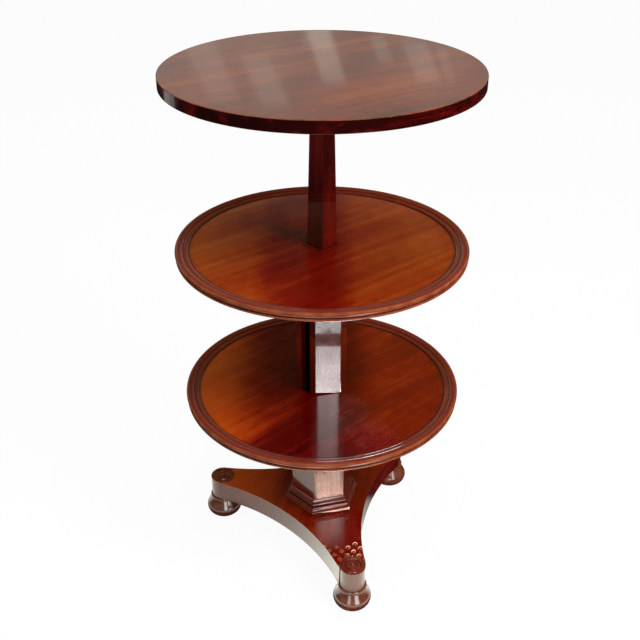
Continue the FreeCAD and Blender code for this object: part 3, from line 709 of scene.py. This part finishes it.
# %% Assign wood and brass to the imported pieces
staves = [f"lower_stave_{k}" for k in range(1, 7)] + [f"middle_stave_{k}" for k in range(1, 6)]
slot_frame = ["slot_stile_left", "slot_stile_right", "slot_head", "slot_foot"]
battens = [f"{tier}_tray_batten_{side}" for tier in ("lower", "middle") for side in ("front", "back")]
shown_as_packed = {
    column_wood: staves + slot_frame + ["post_escutcheon"],
    post_wood_painted_light: ["post"],
    tray_wood: ["middle_tray_floor"],
    low_tray_wood: ["lower_tray_floor"],
    oiled_flat: ["well_board"] + battens,
    oiled_upright: ["lower_guide", "post_guide", "middle_flange", "post_foot_block", "slot_peg"],
    oiled_top: ["top_batten_front", "top_batten_back", "top_block"],
    brass: ["lower_clamp_plate", "middle_clamp_plate"],
}
for material, names in shown_as_packed.items():
    for name in names:
        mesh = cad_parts[name].data
        mesh.materials.clear()
        mesh.materials.append(material)
print("packed pieces dressed:", sum(len(names) for names in shown_as_packed.values()))

# %% [markdown]
# ## Pieces made again
#
# A new piece is made in place, rides on the body that carries it, hides the imported node it stands for, and
# gets its finish. Faces are smooth, and an edge stays crisp only where two faces meet at a real angle.

# %% Finish a new piece
import bmesh


def soften(mesh, crisp_degrees=34.0):
    """Smooth shading weighted by area, so that wide flat faces stay flat and real corners stay crisp."""
    work = bmesh.new()
    work.from_mesh(mesh)
    work.normal_update()
    areas = [face.calc_area() for face in work.faces]
    limit = math.cos(math.radians(crisp_degrees))
    normals = []
    for face in work.faces:
        face.smooth = True
        for corner in face.loops:
            near = [f for f in corner.vert.link_faces if f.normal.dot(face.normal) > limit]
            normals.append(sum((f.normal * areas[f.index] for f in near), Vector()).normalized())
    work.to_mesh(mesh)
    work.free()
    mesh.normals_split_custom_set(normals)


def piece(name, mesh, material, body, nodes):
    """Put a mesh in the scene as a named piece on a body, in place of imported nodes."""
    soften(mesh)
    mesh.materials.clear()
    mesh.materials.append(material)
    obj = bpy.data.objects.new(name, mesh)
    scene.collection.objects.link(obj)
    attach(obj, body)
    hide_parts(*nodes)


def turned_mesh(name, line, sides, axis=(0.0, 0.0)):
    """A closed solid turned about an upright axis from r, z points that run up its outside."""
    work = bmesh.new()
    x, y = axis
    angles = [2 * math.pi * k / sides for k in range(sides)]
    rings = []
    for r, z in line:
        if r == 0.0:
            rings.append([work.verts.new((x, y, z))])
        else:
            rings.append([work.verts.new((x + r * math.cos(a), y + r * math.sin(a), z)) for a in angles])
    for low, high in zip(rings, rings[1:]):
        for k in range(sides):
            n = (k + 1) % sides
            corners = [low[k % len(low)], low[n % len(low)], high[n % len(high)], high[k % len(high)]]
            work.faces.new(list(dict.fromkeys(corners)))
    bmesh.ops.recalc_face_normals(work, faces=work.faces)
    mesh = bpy.data.meshes.new(name)
    work.to_mesh(mesh)
    work.free()
    return mesh


def arc(centre, radius, first, last, steps):
    """Points on an arc, with its angles in degrees from +r towards +z."""
    angles = [math.radians(first + (last - first) * k / steps) for k in range(steps + 1)]
    return [(centre[0] + radius * math.cos(a), centre[1] + radius * math.sin(a)) for a in angles]


def through(first, middle, last, steps):
    """Points on the arc through three r, z points, from the first to the last."""
    (ax, ay), (bx, by), (cx, cy) = first, middle, last
    d = 2 * (ax * (by - cy) + bx * (cy - ay) + cx * (ay - by))
    a2, b2, c2 = ax * ax + ay * ay, bx * bx + by * by, cx * cx + cy * cy
    ux = (a2 * (by - cy) + b2 * (cy - ay) + c2 * (ay - by)) / d
    uy = (a2 * (cx - bx) + b2 * (ax - cx) + c2 * (bx - ax)) / d
    low, high = math.atan2(ay - uy, ax - ux), math.atan2(cy - uy, cx - ux)
    return arc((ux, uy), math.hypot(ax - ux, ay - uy), math.degrees(low), math.degrees(high), steps)


def swollen(first, last, swell, steps):
    """Points on an arc between two points that stands off their chord by swell, to its right."""
    (ax, az), (bx, bz) = first, last
    chord = math.hypot(bx - ax, bz - az)
    radius = (chord ** 2 / 4 + swell ** 2) / (2 * abs(swell))
    nx, nz = (bz - az) / chord, -(bx - ax) / chord
    points = []
    for k in range(steps + 1):
        s = (k / steps - 0.5) * chord
        lift = math.copysign(math.sqrt(radius ** 2 - s ** 2) - (radius - abs(swell)), swell)
        points.append((ax + (bx - ax) * k / steps + nx * lift, az + (bz - az) * k / steps + nz * lift))
    return points


# %% [markdown]
# ## The round top
#
# The top is a plain board an inch thick, turned true and eased at both arrises. The easing is what catches
# the thin line of light along its lower edge, so it is turned here as a fine quarter round.

# %% Turn the top
top_low, top_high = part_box("round_top")
top_radius = (top_high.x - top_low.x) / 2
top_arris = 0.0014


def eased_side(radius, low, high, arris, steps):
    """The upright side of a turned board between its two eased arrises."""
    edge = radius - arris
    return arc((edge, low + arris), arris, -90, 0, steps) + arc((edge, high - arris), arris, 0, 90, steps)


top_line = [(0.0, top_low.z)]
top_line += eased_side(top_radius, top_low.z, top_high.z, top_arris, 5)
top_line += [(0.0, top_high.z)]
mesh = turned_mesh("turned_top", top_line, 256)
piece("turned_top", mesh, top_wood, "upper_stage", ["round_top"])
print("top", round(top_radius * 2000), "mm across")

# %% [markdown]
# ## Mouldings that follow a ring
#
# A tray's rim and the base mouldings have one section that runs round the column, as if a moulding plane
# had followed it. That is a rule, so Geometry Nodes make it: the section is drawn once as a line, and the
# tree sweeps it round a circle. With six sides instead of many the same tree gives the mitred base.

# %% A node tree that sweeps a section


class Plan:
    """A Geometry Nodes tree, filled from Python, with named inputs."""

    def __init__(self, name, inputs):
        self.tree = bpy.data.node_groups.new(name, "GeometryNodeTree")
        self.sockets = {}
        self.tree.interface.new_socket("Geometry", in_out="INPUT", socket_type="NodeSocketGeometry")
        for label, kind in inputs.items():
            made = self.tree.interface.new_socket(label, in_out="INPUT", socket_type="NodeSocket" + kind)
            self.sockets[label] = made.identifier
        self.tree.interface.new_socket("Geometry", in_out="OUTPUT", socket_type="NodeSocketGeometry")
        self.start = self.tree.nodes.new("NodeGroupInput")
        self.end = self.tree.nodes.new("NodeGroupOutput")

    def add(self, kind, settings=None, inputs=None, output=0):
        """Add a node. An input that is given a word takes the tree's own input of that name."""
        node = self.tree.nodes.new(kind)
        for name, setting in (settings or {}).items():
            setattr(node, name, setting)
        for place, value in (inputs or {}).items():
            if isinstance(value, str):
                value = self.start.outputs[value]
            if isinstance(value, bpy.types.NodeSocket):
                self.tree.links.new(value, node.inputs[place])
            else:
                node.inputs[place].default_value = value
        return node.outputs[output]

    def gather(self, kind, place, parts, settings=None, inputs=None):
        """Add a node with one input that takes several links."""
        made = self.add(kind, settings, inputs)
        for part in parts:
            self.tree.links.new(part, made.node.inputs[place])
        return made

    def finish(self, shape):
        """Turn instances into real faces, give them their finish and send them out."""
        real = self.add("GeometryNodeRealizeInstances", inputs={0: shape})
        inputs = {"Geometry": real, "Material": "Finish"}
        dressed = self.add("GeometryNodeSetMaterial", inputs=inputs)
        self.tree.links.new(dressed, self.end.inputs[0])

    def grow(self, name, mesh, values):
        """Run the tree on a mesh with these input values and return the result as a plain mesh."""
        seed = bpy.data.objects.new(name + "_seed", mesh)
        scene.collection.objects.link(seed)
        modifier = seed.modifiers.new("plan", "NODES")
        modifier.node_group = self.tree
        for label, value in values.items():
            modifier[self.sockets[label]] = value
        graph = bpy.context.evaluated_depsgraph_get()
        made = bpy.data.meshes.new_from_object(seed.evaluated_get(graph))
        made.name = name
        seed.modifiers.remove(modifier)
        bpy.data.objects.remove(seed)
        return made


sweep = Plan("sweep_a_section", {"Radius": "Float", "Sides": "Int", "Finish": "Material"})
section = sweep.add("GeometryNodeMeshToCurve", inputs={0: "Geometry"})
path = sweep.add("GeometryNodeCurvePrimitiveCircle", inputs={"Resolution": "Sides", "Radius": "Radius"})
level_path = sweep.add("GeometryNodeSetCurveNormal", {"mode": "Z_UP"}, {0: path})
sweep.finish(sweep.add("GeometryNodeCurveToMesh", inputs={"Curve": level_path, "Profile Curve": section}))


def moulding(name, outline, radius, sides, material, height):
    """Sweep a closed outline of r, z points round a ring. In the tree a section's y points down."""
    points = [(r - radius, height - z, 0.0) for r, z in outline]
    if sides == 6:
        points = [((x + radius) / math.cos(math.pi / 6) - radius, y, 0.0) for x, y, _ in points]
    area = sum(a[0] * b[1] - b[0] * a[1] for a, b in zip(points, points[1:] + points[:1]))
    if area < 0:
        points.reverse()
    mesh = bpy.data.meshes.new(name + "_section")
    mesh.from_pydata(points, [(k, (k + 1) % len(points)) for k in range(len(points))], [])
    made = sweep.grow(name, mesh, {"Radius": radius, "Sides": sides, "Finish": material})
    made.transform(Matrix.Translation((0.0, 0.0, height)))
    work = bmesh.new()
    work.from_mesh(made)
    bmesh.ops.remove_doubles(work, verts=work.verts, dist=1e-7)
    bmesh.ops.recalc_face_normals(work, faces=work.faces)
    work.to_mesh(made)
    work.free()
    return made


print("a sweep with inputs", ", ".join(sweep.sockets))

# %% [markdown]
# ## The tray rims
#
# From outside in, a rim has a small bead at its foot, a quirk, a round nose, a broad roll that falls
# inwards, a step, and a second bead that comes down to the board. The light nose and the dark lines inside
# it are the trays' main ornament. The section is drawn as arcs, all worked out from a few sizes.

# %% Draw the rim's section and sweep both rims
rim_sides = 224
rim_ring = 0.02
nose = 0.0065
roll_width, roll_drop = 0.0100, 0.0037
inner_width, inner_step, inner_swell = 0.0105, 0.0015, 0.0016
seat_width = 0.0110
foot_bead, foot_setback, foot_swell = 0.0050, 0.0030, 0.0018
quirk = 0.0014
lap = 0.0015
recess = 0.0080


def rim_outline(outer, low, high):
    """The rim's section, anticlockwise from the foot of its seat."""
    nose_r, nose_z = outer - nose, high - nose
    foot_r = outer - foot_setback
    quirk_low, quirk_top = low + foot_bead, low + foot_bead + quirk
    crest_r, crest_z = nose_r - roll_width, high - roll_drop
    inner_r = crest_r - inner_width
    floor_top = high - recess
    seat_r = inner_r + seat_width
    under = math.degrees(math.asin((quirk_top - nose_z) / nose))
    roll_radius = (roll_width ** 2 + roll_drop ** 2) / (2 * roll_drop)
    roll_angle = math.degrees(math.asin(roll_width / roll_radius))
    points = [(seat_r, low)]
    points += swollen((foot_r, low), (foot_r, quirk_low), foot_swell, 8)
    points += [(foot_r - foot_swell, quirk_low), (foot_r - foot_swell, quirk_top)]
    points += arc((nose_r, nose_z), nose, under, 90, 14)
    points += arc((nose_r, high - roll_radius), roll_radius, 90, 90 + roll_angle, 10)[1:]
    points += swollen((crest_r, crest_z - inner_step), (inner_r, floor_top + inner_step), inner_swell, 8)
    points += [(inner_r, floor_top - lap), (seat_r, floor_top - lap)]
    return points


for tier, body in (("middle", "middle_stage"), ("lower", "stand")):
    rim_low, rim_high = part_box(f"{tier}_tray_rim")
    outline = rim_outline(rim_high.x, rim_low.z, rim_high.z)
    mesh = moulding(f"{tier}_rim", outline, rim_high.x - rim_ring, rim_sides, rim_wood, rim_low.z)
    piece(f"{tier}_rim", mesh, rim_wood, body, [f"{tier}_tray_rim"])
    print(tier, "rim", len(mesh.polygons), "faces,", round((rim_high.z - rim_low.z) * 1000, 1), "mm high")

# %% [markdown]
# ## The stepped base moulding
#
# Where the wide column meets the platform a plinth, a lip, a bead and a cove step in towards it, mitred at
# six corners. The same tree sweeps them round six sides. A hexagon's corner lies further out than its flat,
# so the section is drawn wider by that share.

# %% Sweep the base mouldings
plinth_low, plinth_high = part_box("base_plinth")
bead_low, bead_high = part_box("base_bead")
column_in = 0.0618
plinth_out = plinth_high.y
lip_out, lip_height = column_in + 0.0096, 0.0045
plinth_step = plinth_low.z + 0.0085
plinth_fillet = 0.0004
groove_out, groove_height = column_in + 0.0050, 0.0025
bead_out, bead_height = column_in + 0.0040, 0.0065
lip_low = plinth_high.z - lip_height
plinth_round = 0.0015
plinth = [(column_in, plinth_low.z), (plinth_out, plinth_low.z)]
plinth += arc((plinth_out - plinth_round, plinth_step - plinth_round), plinth_round, 0, 90, 5)
plinth += swollen((plinth_out - plinth_round - plinth_fillet, plinth_step), (lip_out, lip_low), -0.0015, 6)
plinth += swollen((lip_out, lip_low), (lip_out, plinth_high.z), 0.0013, 8)[1:]
plinth += [(column_in, plinth_high.z)]
groove_top = bead_low.z + groove_height
bead = [(column_in, bead_low.z), (groove_out, bead_low.z)]
bead += swollen((groove_out, groove_top), (bead_out, groove_top + bead_height), 0.0028, 10)
bead += swollen(bead[-1], (column_in + 0.0005, bead_high.z), -0.0011, 8)[1:]
bead += [(column_in, bead_high.z)]
base_wood = mahogany("base_mahogany", plank(0.0, (0.2, 0.1, 0.0)), tone=0.48, contrast=0.5, red=0.0,
                     brown=0.2)
base_pieces = (("plinth_moulding", plinth, "base_plinth"), ("bead_moulding", bead, "base_bead"))
for label, outline, node in base_pieces:
    mesh = moulding(label, outline, column_in, 6, base_wood, plinth_low.z)
    piece(label, mesh, base_wood, "stand", [node])

# %% [markdown]
# ## The platform
#
# The platform is a board with three hollow sides, each cut as one sweep of a compass, whose arms run out to
# the drums. Its plan is worked out from the arm's end and its waist. Three polygons, one for each arm, meet
# round the six-sided well that the column goes down into, and are given the board's thickness. A small
# bevel eases the outer arrises, which draws the thin bright lines round it.

# %% Draw the platform's plan
board_low, board_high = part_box("platform")
drum_circle, drum_radius = 0.251, 0.0285
arm_half, arm_end, waist = 0.0305, 0.250, 0.109
board_arris = 0.0011
seat_steps, hollow_steps = 24, 64


def rotated(point, degrees):
    a = math.radians(degrees)
    x, y = point
    return (x * math.cos(a) - y * math.sin(a), x * math.sin(a) + y * math.cos(a))


ear = math.hypot(arm_end, arm_half)
off_middle = math.radians(60) - math.atan2(arm_half, arm_end)
hollow_centre = (ear ** 2 - waist ** 2) / (2 * (ear * math.cos(off_middle) - waist))
hollow_radius = hollow_centre - waist


def arm_outline(degrees):
    """An arm's end round its drum's seat, and the hollow from there to the next arm."""
    seat = math.degrees(math.acos((drum_circle - arm_end) / drum_radius))
    ends = [(-arm_half, -arm_end), (-drum_radius * math.sin(math.radians(seat)), -arm_end)]
    seat_arc = arc((0.0, -drum_circle), drum_radius, 90 + seat, 90 - seat, seat_steps)
    centre = rotated((0.0, -hollow_centre), 60)
    turns = []
    for x, y in ((arm_half, -arm_end), rotated((-arm_half, -arm_end), 120)):
        turns.append(math.degrees(math.atan2(y - centre[1], x - centre[0])) % 360)
    hollow = arc(centre, hollow_radius, *turns, hollow_steps)
    points = ends + seat_arc[1:-1] + [(-x, y) for x, y in reversed(ends)] + hollow[1:-1]
    return [rotated(p, degrees) for p in points]


plan_points = arm_outline(0) + arm_outline(120) + arm_outline(240)
arm_count = len(plan_points) // 3
waist_place = arm_count - hollow_steps // 2
well_corner = column_in / math.cos(math.pi / 6)
well_points = []
for bearing in (60, 180, 300):
    well_points.append(rotated((0.0, -column_in), bearing))
    well_points += [rotated((0.0, -well_corner), bearing + turn) for turn in (30, 90)]
print("plan of", len(plan_points), "points, hollow radius", round(hollow_radius * 1000), "mm")

# %% Thicken the plan and ease its arrises
work = bmesh.new()
outer = [work.verts.new((x, y, board_low.z)) for x, y in plan_points]
inner = [work.verts.new((x, y, board_low.z)) for x, y in well_points]
for k in range(3):
    first = k * arm_count + waist_place
    loop = [outer[n % len(outer)] for n in range(first, first + arm_count + 1)]
    work.faces.new(loop + [inner[n % 9] for n in range(3 * k + 3, 3 * k - 1, -1)])
raised = bmesh.ops.extrude_face_region(work, geom=work.faces[:])
top_verts = [v for v in raised["geom"] if isinstance(v, bmesh.types.BMVert)]
bmesh.ops.translate(work, verts=top_verts, vec=(0.0, 0.0, board_high.z - board_low.z))
bmesh.ops.recalc_face_normals(work, faces=work.faces)
beyond_well = well_corner + 0.01
arrises = [e for e in work.edges if abs(e.verts[0].co.z - e.verts[1].co.z) < 1e-6
           and min(v.co.xy.length for v in e.verts) > beyond_well]
bmesh.ops.bevel(work, geom=arrises, offset=board_arris, segments=3, profile=0.5, affect="EDGES")
board = bpy.data.meshes.new("platform_board")
work.to_mesh(board)
work.free()
piece("platform_board", board, platform_wood, "stand", ["platform"])
print("platform", len(board.polygons), "faces")

# %% [markdown]
# ## Bun feet and corner drums
#
# Feet and drums were turned on a lathe, so each is a line spun round its own axis. The foot stands on a
# wide sole, swells to its widest a thumb's breadth up, draws in through a cove, carries a ring below the
# drum, and goes up into the drum by its spigot.

# %% Turn the feet and the drums
corners = {"front": 0, "right": 120, "left": 240}
foot_low, foot_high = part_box("bun_foot_front")
sole, belly, shoulder, neck = (0.0320, 0.0), (0.0419, 0.0180), (0.0394, 0.0280), (0.0296, 0.0455)
ring_low, ring_high = (0.0296, 0.0470), (0.0294, 0.0546)
spigot, spigot_low, spigot_high = 0.0110, 0.0550, 0.0830
foot_line = [(0.0, 0.0)]
foot_line += through(sole, belly, shoulder, 18)
foot_line += swollen(shoulder, neck, -0.0005, 8)[1:]
foot_line += [(0.0296, 0.0466)]
foot_line += swollen(ring_low, ring_high, 0.0025, 12)
foot_line += [(0.0280, spigot_low), (spigot, spigot_low), (spigot, spigot_high - 0.0002), (0.0, spigot_high)]
drum_low, drum_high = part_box("corner_drum_front")
drum_arris = 0.0008
socket_high, socket_top, socket_foot = drum_high.z - 0.010, 0.0108, 0.0112
drum_line = [(0.0, socket_high), (socket_top, socket_high), (socket_foot, drum_low.z)]
drum_line += eased_side(drum_radius, drum_low.z, drum_high.z, drum_arris, 4)
drum_line += [(0.0, drum_high.z)]
turned_lines = (("turned_foot", "bun_foot", foot_line), ("turned_drum", "corner_drum", drum_line))
for corner, degrees in corners.items():
    for label, node, line in turned_lines:
        name = f"{label}_{corner}"
        mesh = turned_mesh(name, line, 96, rotated((0.0, -drum_circle), degrees))
        piece(name, mesh, turned_wood, "stand", [f"{node}_{corner}"])
print("feet", round((foot_high.x - foot_low.x) * 1000, 1), "mm across at", len(corners), "corners")

# %% [markdown]
# ## Carved scrolls
#
# On each drum a carver cut a scroll: a rounded band that winds in twice and thins towards a button.
# Geometry Nodes have a spiral, which a round section follows while its radius shrinks along the way.

# %% Wind the scrolls
scroll = Plan("wind_a_scroll", {"Start": "Float", "End": "Float", "Turns": "Float", "Band": "Float",
                                "Rise": "Float", "Button": "Float", "Finish": "Material"})
spiral = scroll.add("GeometryNodeCurveSpiral", inputs={
    "Resolution": 64, "Rotations": "Turns", "Start Radius": "End", "End Radius": "Start", "Height": 0.0})
share = scroll.add("GeometryNodeSplineParameter")
thin = scroll.add("ShaderNodeMapRange", inputs={"Value": share, "To Min": 0.62, "To Max": 1.0})
tapered = scroll.add("GeometryNodeSetCurveRadius", inputs={"Curve": spiral, "Radius": thin})
level_spiral = scroll.add("GeometryNodeSetCurveNormal", {"mode": "Z_UP"}, {0: tapered})
round_section = scroll.add("GeometryNodeCurvePrimitiveCircle", inputs={"Resolution": 14, "Radius": "Band"})
band = scroll.add("GeometryNodeCurveToMesh", inputs={
    "Curve": level_spiral, "Profile Curve": round_section, "Scale": thin, "Fill Caps": True})
button = scroll.add("GeometryNodeMeshUVSphere", inputs={"Segments": 32, "Rings": 16, "Radius": "Button"})
both = scroll.gather("GeometryNodeJoinGeometry", 0, (band, button))
tall = scroll.add("ShaderNodeCombineXYZ", inputs={0: 1.0, 1: 1.0, 2: "Rise"})
scroll.finish(scroll.add("GeometryNodeTransform", inputs={"Geometry": both, "Scale": tall}))

scroll_wood = mahogany("scroll_mahogany", upright, tone=0.50, contrast=0.5, red=0.1)
scroll_sizes = {"Start": 0.0246, "End": 0.0068, "Turns": 2.1, "Band": 0.0027, "Rise": 1.25, "Button": 0.0040}
scroll_start = 150
for corner, degrees in corners.items():
    name = f"carved_scroll_{corner}"
    mesh = scroll.grow(name, bpy.data.meshes.new(name), {**scroll_sizes, "Finish": scroll_wood})
    x, y = rotated((0.0, -drum_circle), degrees)
    turn = Matrix.Rotation(math.radians(degrees + scroll_start), 4, "Z")
    mesh.transform(Matrix.Translation((x, y, drum_high.z)) @ turn)
    piece(name, mesh, scroll_wood, "stand", [f"scroll_{corner}"])
print("scroll faces", len(mesh.polygons))

# %% [markdown]
# ## Carved pips
#
# The front arm has a field of small domes in a slanting lattice, cut off where it meets the arm's edges and
# the drum. Geometry Nodes set one low ball on every lattice point. Points of a ball that would fall outside
# the arm are then drawn back to its edge, as the carver's chisel stopped there.

# %% Set the pips
pips = Plan("set_pips", {"Ball": "Float", "Finish": "Material"})
ball = pips.add("GeometryNodeMeshUVSphere", inputs={"Segments": 28, "Rings": 20, "Radius": "Ball"})
pips.finish(pips.add("GeometryNodeInstanceOnPoints", inputs={"Points": "Geometry", "Instance": ball}))

pip_radius, pip_rise = 0.0055, 0.0027
pip_ball = (pip_radius ** 2 + pip_rise ** 2) / (2 * pip_rise)
pip_along, pip_across = 0.0172, 0.0190
pip_out, pip_side = 0.1785, 0.0445
slope, rise = math.radians(-63), math.radians(20)
lattice_rows = [(0, 0, 3), (-1, 4, 4), (1, 1, 3), (2, 2, 5), (3, 2, 3)]  # a row, its first and last pip
centres = []
for j, first, last in lattice_rows:
    for i in range(first, last + 1):
        x = i * pip_along * math.cos(slope) + j * pip_across * math.cos(rise) - pip_side
        y = i * pip_along * math.sin(slope) + j * pip_across * math.sin(rise) - pip_out
        centres.append((x, y, board_high.z + pip_rise - pip_ball))
mesh = bpy.data.meshes.new("pip_points")
mesh.from_pydata(centres, [], [])
pip_wood = mahogany("pip_mahogany", upright, tone=0.92, contrast=0.4, red=0.0, brown=0.3, coat=0.15,
                    haze=0.3)
field = pips.grow("pip_field", mesh, {"Ball": pip_ball, "Finish": pip_wood})
print("pips", len(centres), "with", len(field.polygons), "faces")

# %% Cut the field off at the arm's edges and the drum
pip_margin = 0.0002
cutters = [(rotated((0.0, -hollow_centre), side), hollow_radius + pip_margin) for side in (60, -60)]
cutters.append(((0.0, -drum_circle), drum_radius))
for vertex in field.vertices:
    for (x, y), radius in cutters:
        away = math.hypot(vertex.co.x - x, vertex.co.y - y)
        if away < radius:
            pull = radius / away
            vertex.co.x, vertex.co.y = x + (vertex.co.x - x) * pull, y + (vertex.co.y - y) * pull
piece("pip_field", field, pip_wood, "stand", ["carved_pips"])
print("the field reaches", round(-min(v.co.y for v in field.vertices) * 1000, 1), "mm from the axis")

# %% [markdown]
# ## Brass screws
#
# Each screw shows a flat slotted head in its countersink. A node tree cuts the slot from a cone, sets one
# head on each point, turns it by a random angle with a fixed seed, and points it down the drive direction.

# %% A tree that drives screws
screws = Plan("drive_screws", {"Head": "Float", "Shank": "Float", "Depth": "Float", "Length": "Float",
                               "Slot": "Float", "Seed": "Int", "Drive": "Vector", "Finish": "Material"})
cone = screws.add("GeometryNodeMeshCone", inputs={
    "Vertices": 28, "Radius Top": "Shank", "Radius Bottom": "Head", "Depth": "Depth"})
shank = screws.add("GeometryNodeMeshCylinder", inputs={"Vertices": 16, "Radius": "Shank", "Depth": "Length"})
half_length = screws.add("ShaderNodeMath", {"operation": "MULTIPLY"}, {0: "Length", 1: 0.5})
lift = screws.add("ShaderNodeCombineXYZ", inputs={2: half_length})
shank = screws.add("GeometryNodeTransform", inputs={"Geometry": shank, "Translation": lift})
solid = screws.gather("GeometryNodeMeshBoolean", "Mesh 2", (cone, shank),
                      {"operation": "UNION", "solver": "EXACT"})
wide = screws.add("ShaderNodeMath", {"operation": "MULTIPLY"}, {0: "Head", 1: 3.0})
slot_size = screws.add("ShaderNodeCombineXYZ", inputs={0: wide, 1: "Slot", 2: "Slot"})
blade = screws.add("GeometryNodeMeshCube", inputs={"Size": slot_size})
cut = screws.gather("GeometryNodeMeshBoolean", "Mesh 2", (blade,),
                    {"operation": "DIFFERENCE", "solver": "EXACT"}, {"Mesh 1": solid})
toward = screws.add("FunctionNodeAlignRotationToVector", {"axis": "Z"}, {"Vector": "Drive"})
any_turn = screws.add("FunctionNodeRandomValue", {"data_type": "FLOAT"},
                      {2: 0.0, 3: math.pi, "Seed": "Seed"}, output=1)
spin = screws.add("FunctionNodeAxisAngleToRotation", inputs={"Axis": (0.0, 0.0, 1.0), "Angle": any_turn})
facing = screws.add("FunctionNodeRotateRotation", {"rotation_space": "LOCAL"}, {0: toward, 1: spin})
screws.finish(screws.add("GeometryNodeInstanceOnPoints", inputs={
    "Points": "Geometry", "Instance": cut, "Rotation": facing}))
print("a screw with inputs", ", ".join(screws.sockets))

# %% Drive every group of screws
wood_screw = {"Head": 0.0044, "Shank": 0.0022, "Depth": 0.0030}
plate_screw = {"Head": 0.0030, "Shank": 0.0016, "Depth": 0.0018}
slot_share = 0.24
upwards = (0.0, 0.0, 1.0)
clamp_bearing = 120
inwards = (*rotated((0.0, 1.0), clamp_bearing), 0.0)


def screw_group(name, places, drive, kind, length, body, node, seed):
    """Screws whose heads are flush at these places, driven along a direction."""
    mesh = bpy.data.meshes.new(name + "_points")
    mesh.from_pydata([tuple(p) for p in places], [], [])
    made = screws.grow(name, mesh, {**kind, "Length": length, "Slot": kind["Head"] * slot_share,
                                    "Seed": seed, "Drive": drive, "Finish": brass})
    piece(name, made, brass, body, [node])
    print(name, len(places), "screws,", len(made.polygons), "faces")


# Tier, body, the tray's underside above the floor, the column's faces from the axis
tray_groups = (("lower", "stand", 0.412, 0.0618), ("middle", "middle_stage", 0.752, 0.0493))
batten_height, batten_middle, screw_x = 0.020, 0.014, 0.140
for seed, (tier, body, underside, face) in enumerate(tray_groups, start=3):
    y = face + batten_middle
    places = [(x, side * y, underside - batten_height) for x in (-screw_x, screw_x) for side in (-1, 1)]
    screw_group(f"{tier}_batten_screws", places, upwards, wood_screw, 0.027, body,
                f"{tier}_tray_screws", seed)

top_batten_height, top_batten_middle, screw_x = 0.022, 0.056 + 0.015, 0.156
top_places = [(*rotated((x, -top_batten_middle), turn), top_low.z - top_batten_height)
              for turn in (30, 210) for x in (-screw_x, screw_x)]
screw_group("top_batten_screws", top_places, upwards, wood_screw, 0.036, "upper_stage", "top_screws", 5)

well_board_reach, well_board_height = 0.092, 0.012
well_ring = (well_board_reach + well_corner) / 2
well_places = [(*rotated((0.0, -well_ring), a + 60), board_low.z - well_board_height)
               for a in corners.values()]
screw_group("well_screws", well_places, upwards, wood_screw, 0.019, "stand", "well_board_screws", 6)

# Tier, body, the clamp's height, the plate's face from the axis
clamp_groups = (("lower", "stand", 0.400, 0.0658), ("middle", "middle_stage", 0.740, 0.0533))
screw_x = 0.0095
for seed, (tier, body, height, face) in enumerate(clamp_groups, start=7):
    places = [(*rotated((x, -face), clamp_bearing), height) for x in (-screw_x, screw_x)]
    screw_group(f"{tier}_plate_screws", places, inwards, plate_screw, 0.0105, body,
                f"{tier}_clamp_plate_screws", seed)

# %% [markdown]
# ## Thumb screws
#
# A brass thumb screw under each tray pinches the stage that slides through it. It has a plain shank, a
# turned boss with a bead, and a flat wing whose two lobes give the fingers a grip. The wing is built from
# rows of points, each a half width and a distance out, with a dip between the lobes.

# %% Turn the boss and cast the wing
boss = [(0.0066, 0.0), (0.0070, 0.0005), (0.0070, 0.0014), (0.0060, 0.0020), (0.0060, 0.0030),
        (0.0066, 0.0036), (0.0068, 0.0046), (0.0062, 0.0060), (0.0046, 0.0069), (0.0, 0.0070)]
wing_rows = [(0.0040, 0.0), (0.0050, 0.0040), (0.0096, 0.0075), (0.0108, 0.0115), (0.0085, 0.0152),
             (0.0040, 0.0140)]
wing_start, wing_thick, wing_dip, dip_from = 0.0045, 0.0018, 0.0022, 0.013
shank_radius, tip_radius, tip_bevel = 0.0040, 0.0036, 0.0006


def add_wing(work, near):
    """The wing's rows of points, and the faces between them and over both ends."""
    levels = []
    for half, out in wing_rows:
        xs = (-half, -half / 3, half / 3, half)
        dip = wing_dip if out > dip_from else 0.0
        depth = [near + out - (dip if abs(x) < half / 2 else 0.0) for x in xs]
        row = [[work.verts.new((x, side * wing_thick, d)) for x, d in zip(xs, depth)] for side in (-1, 1)]
        levels.append(row)
    for low, high in zip(levels, levels[1:]):
        for side in (0, 1):
            for k in range(3):
                work.faces.new([low[side][k], low[side][k + 1], high[side][k + 1], high[side][k]])
        for k in (0, 3):
            work.faces.new([low[0][k], low[1][k], high[1][k], high[0][k]])
    for level in (levels[0], levels[-1]):
        for k in range(3):
            work.faces.new([level[0][k], level[0][k + 1], level[1][k + 1], level[1][k]])


def thumb_screw(name, near, boss_near, height):
    """A thumb screw that points outwards along the clamp's bearing."""
    line = [(0.0, near), (tip_radius, near), (shank_radius, near + tip_bevel), (shank_radius, boss_near)]
    line += [(r, boss_near + out) for r, out in boss]
    mesh = turned_mesh(name, line, 40)
    work = bmesh.new()
    work.from_mesh(mesh)
    add_wing(work, boss_near + wing_start)
    bmesh.ops.recalc_face_normals(work, faces=work.faces)
    work.to_mesh(mesh)
    work.free()
    lay = Matrix(((1, 0, 0, 0), (0, 0, -1, 0), (0, 1, 0, height), (0, 0, 0, 1)))
    mesh.transform(Matrix.Rotation(math.radians(clamp_bearing), 4, "Z") @ lay)
    return mesh


# Tier, the tip and the boss from the column's axis, the height above the floor
for tier, near, boss_near, height in (("lower", 0.0496, 0.0668, 0.400), ("middle", 0.0232, 0.0543, 0.740)):
    name = f"{tier}_thumb_screw"
    mesh = thumb_screw(name, near, boss_near, height)
    piece(name, mesh, brass, f"{tier}_clamp", [f"{tier}_clamp_screw"])
    print(name, len(mesh.polygons), "faces")
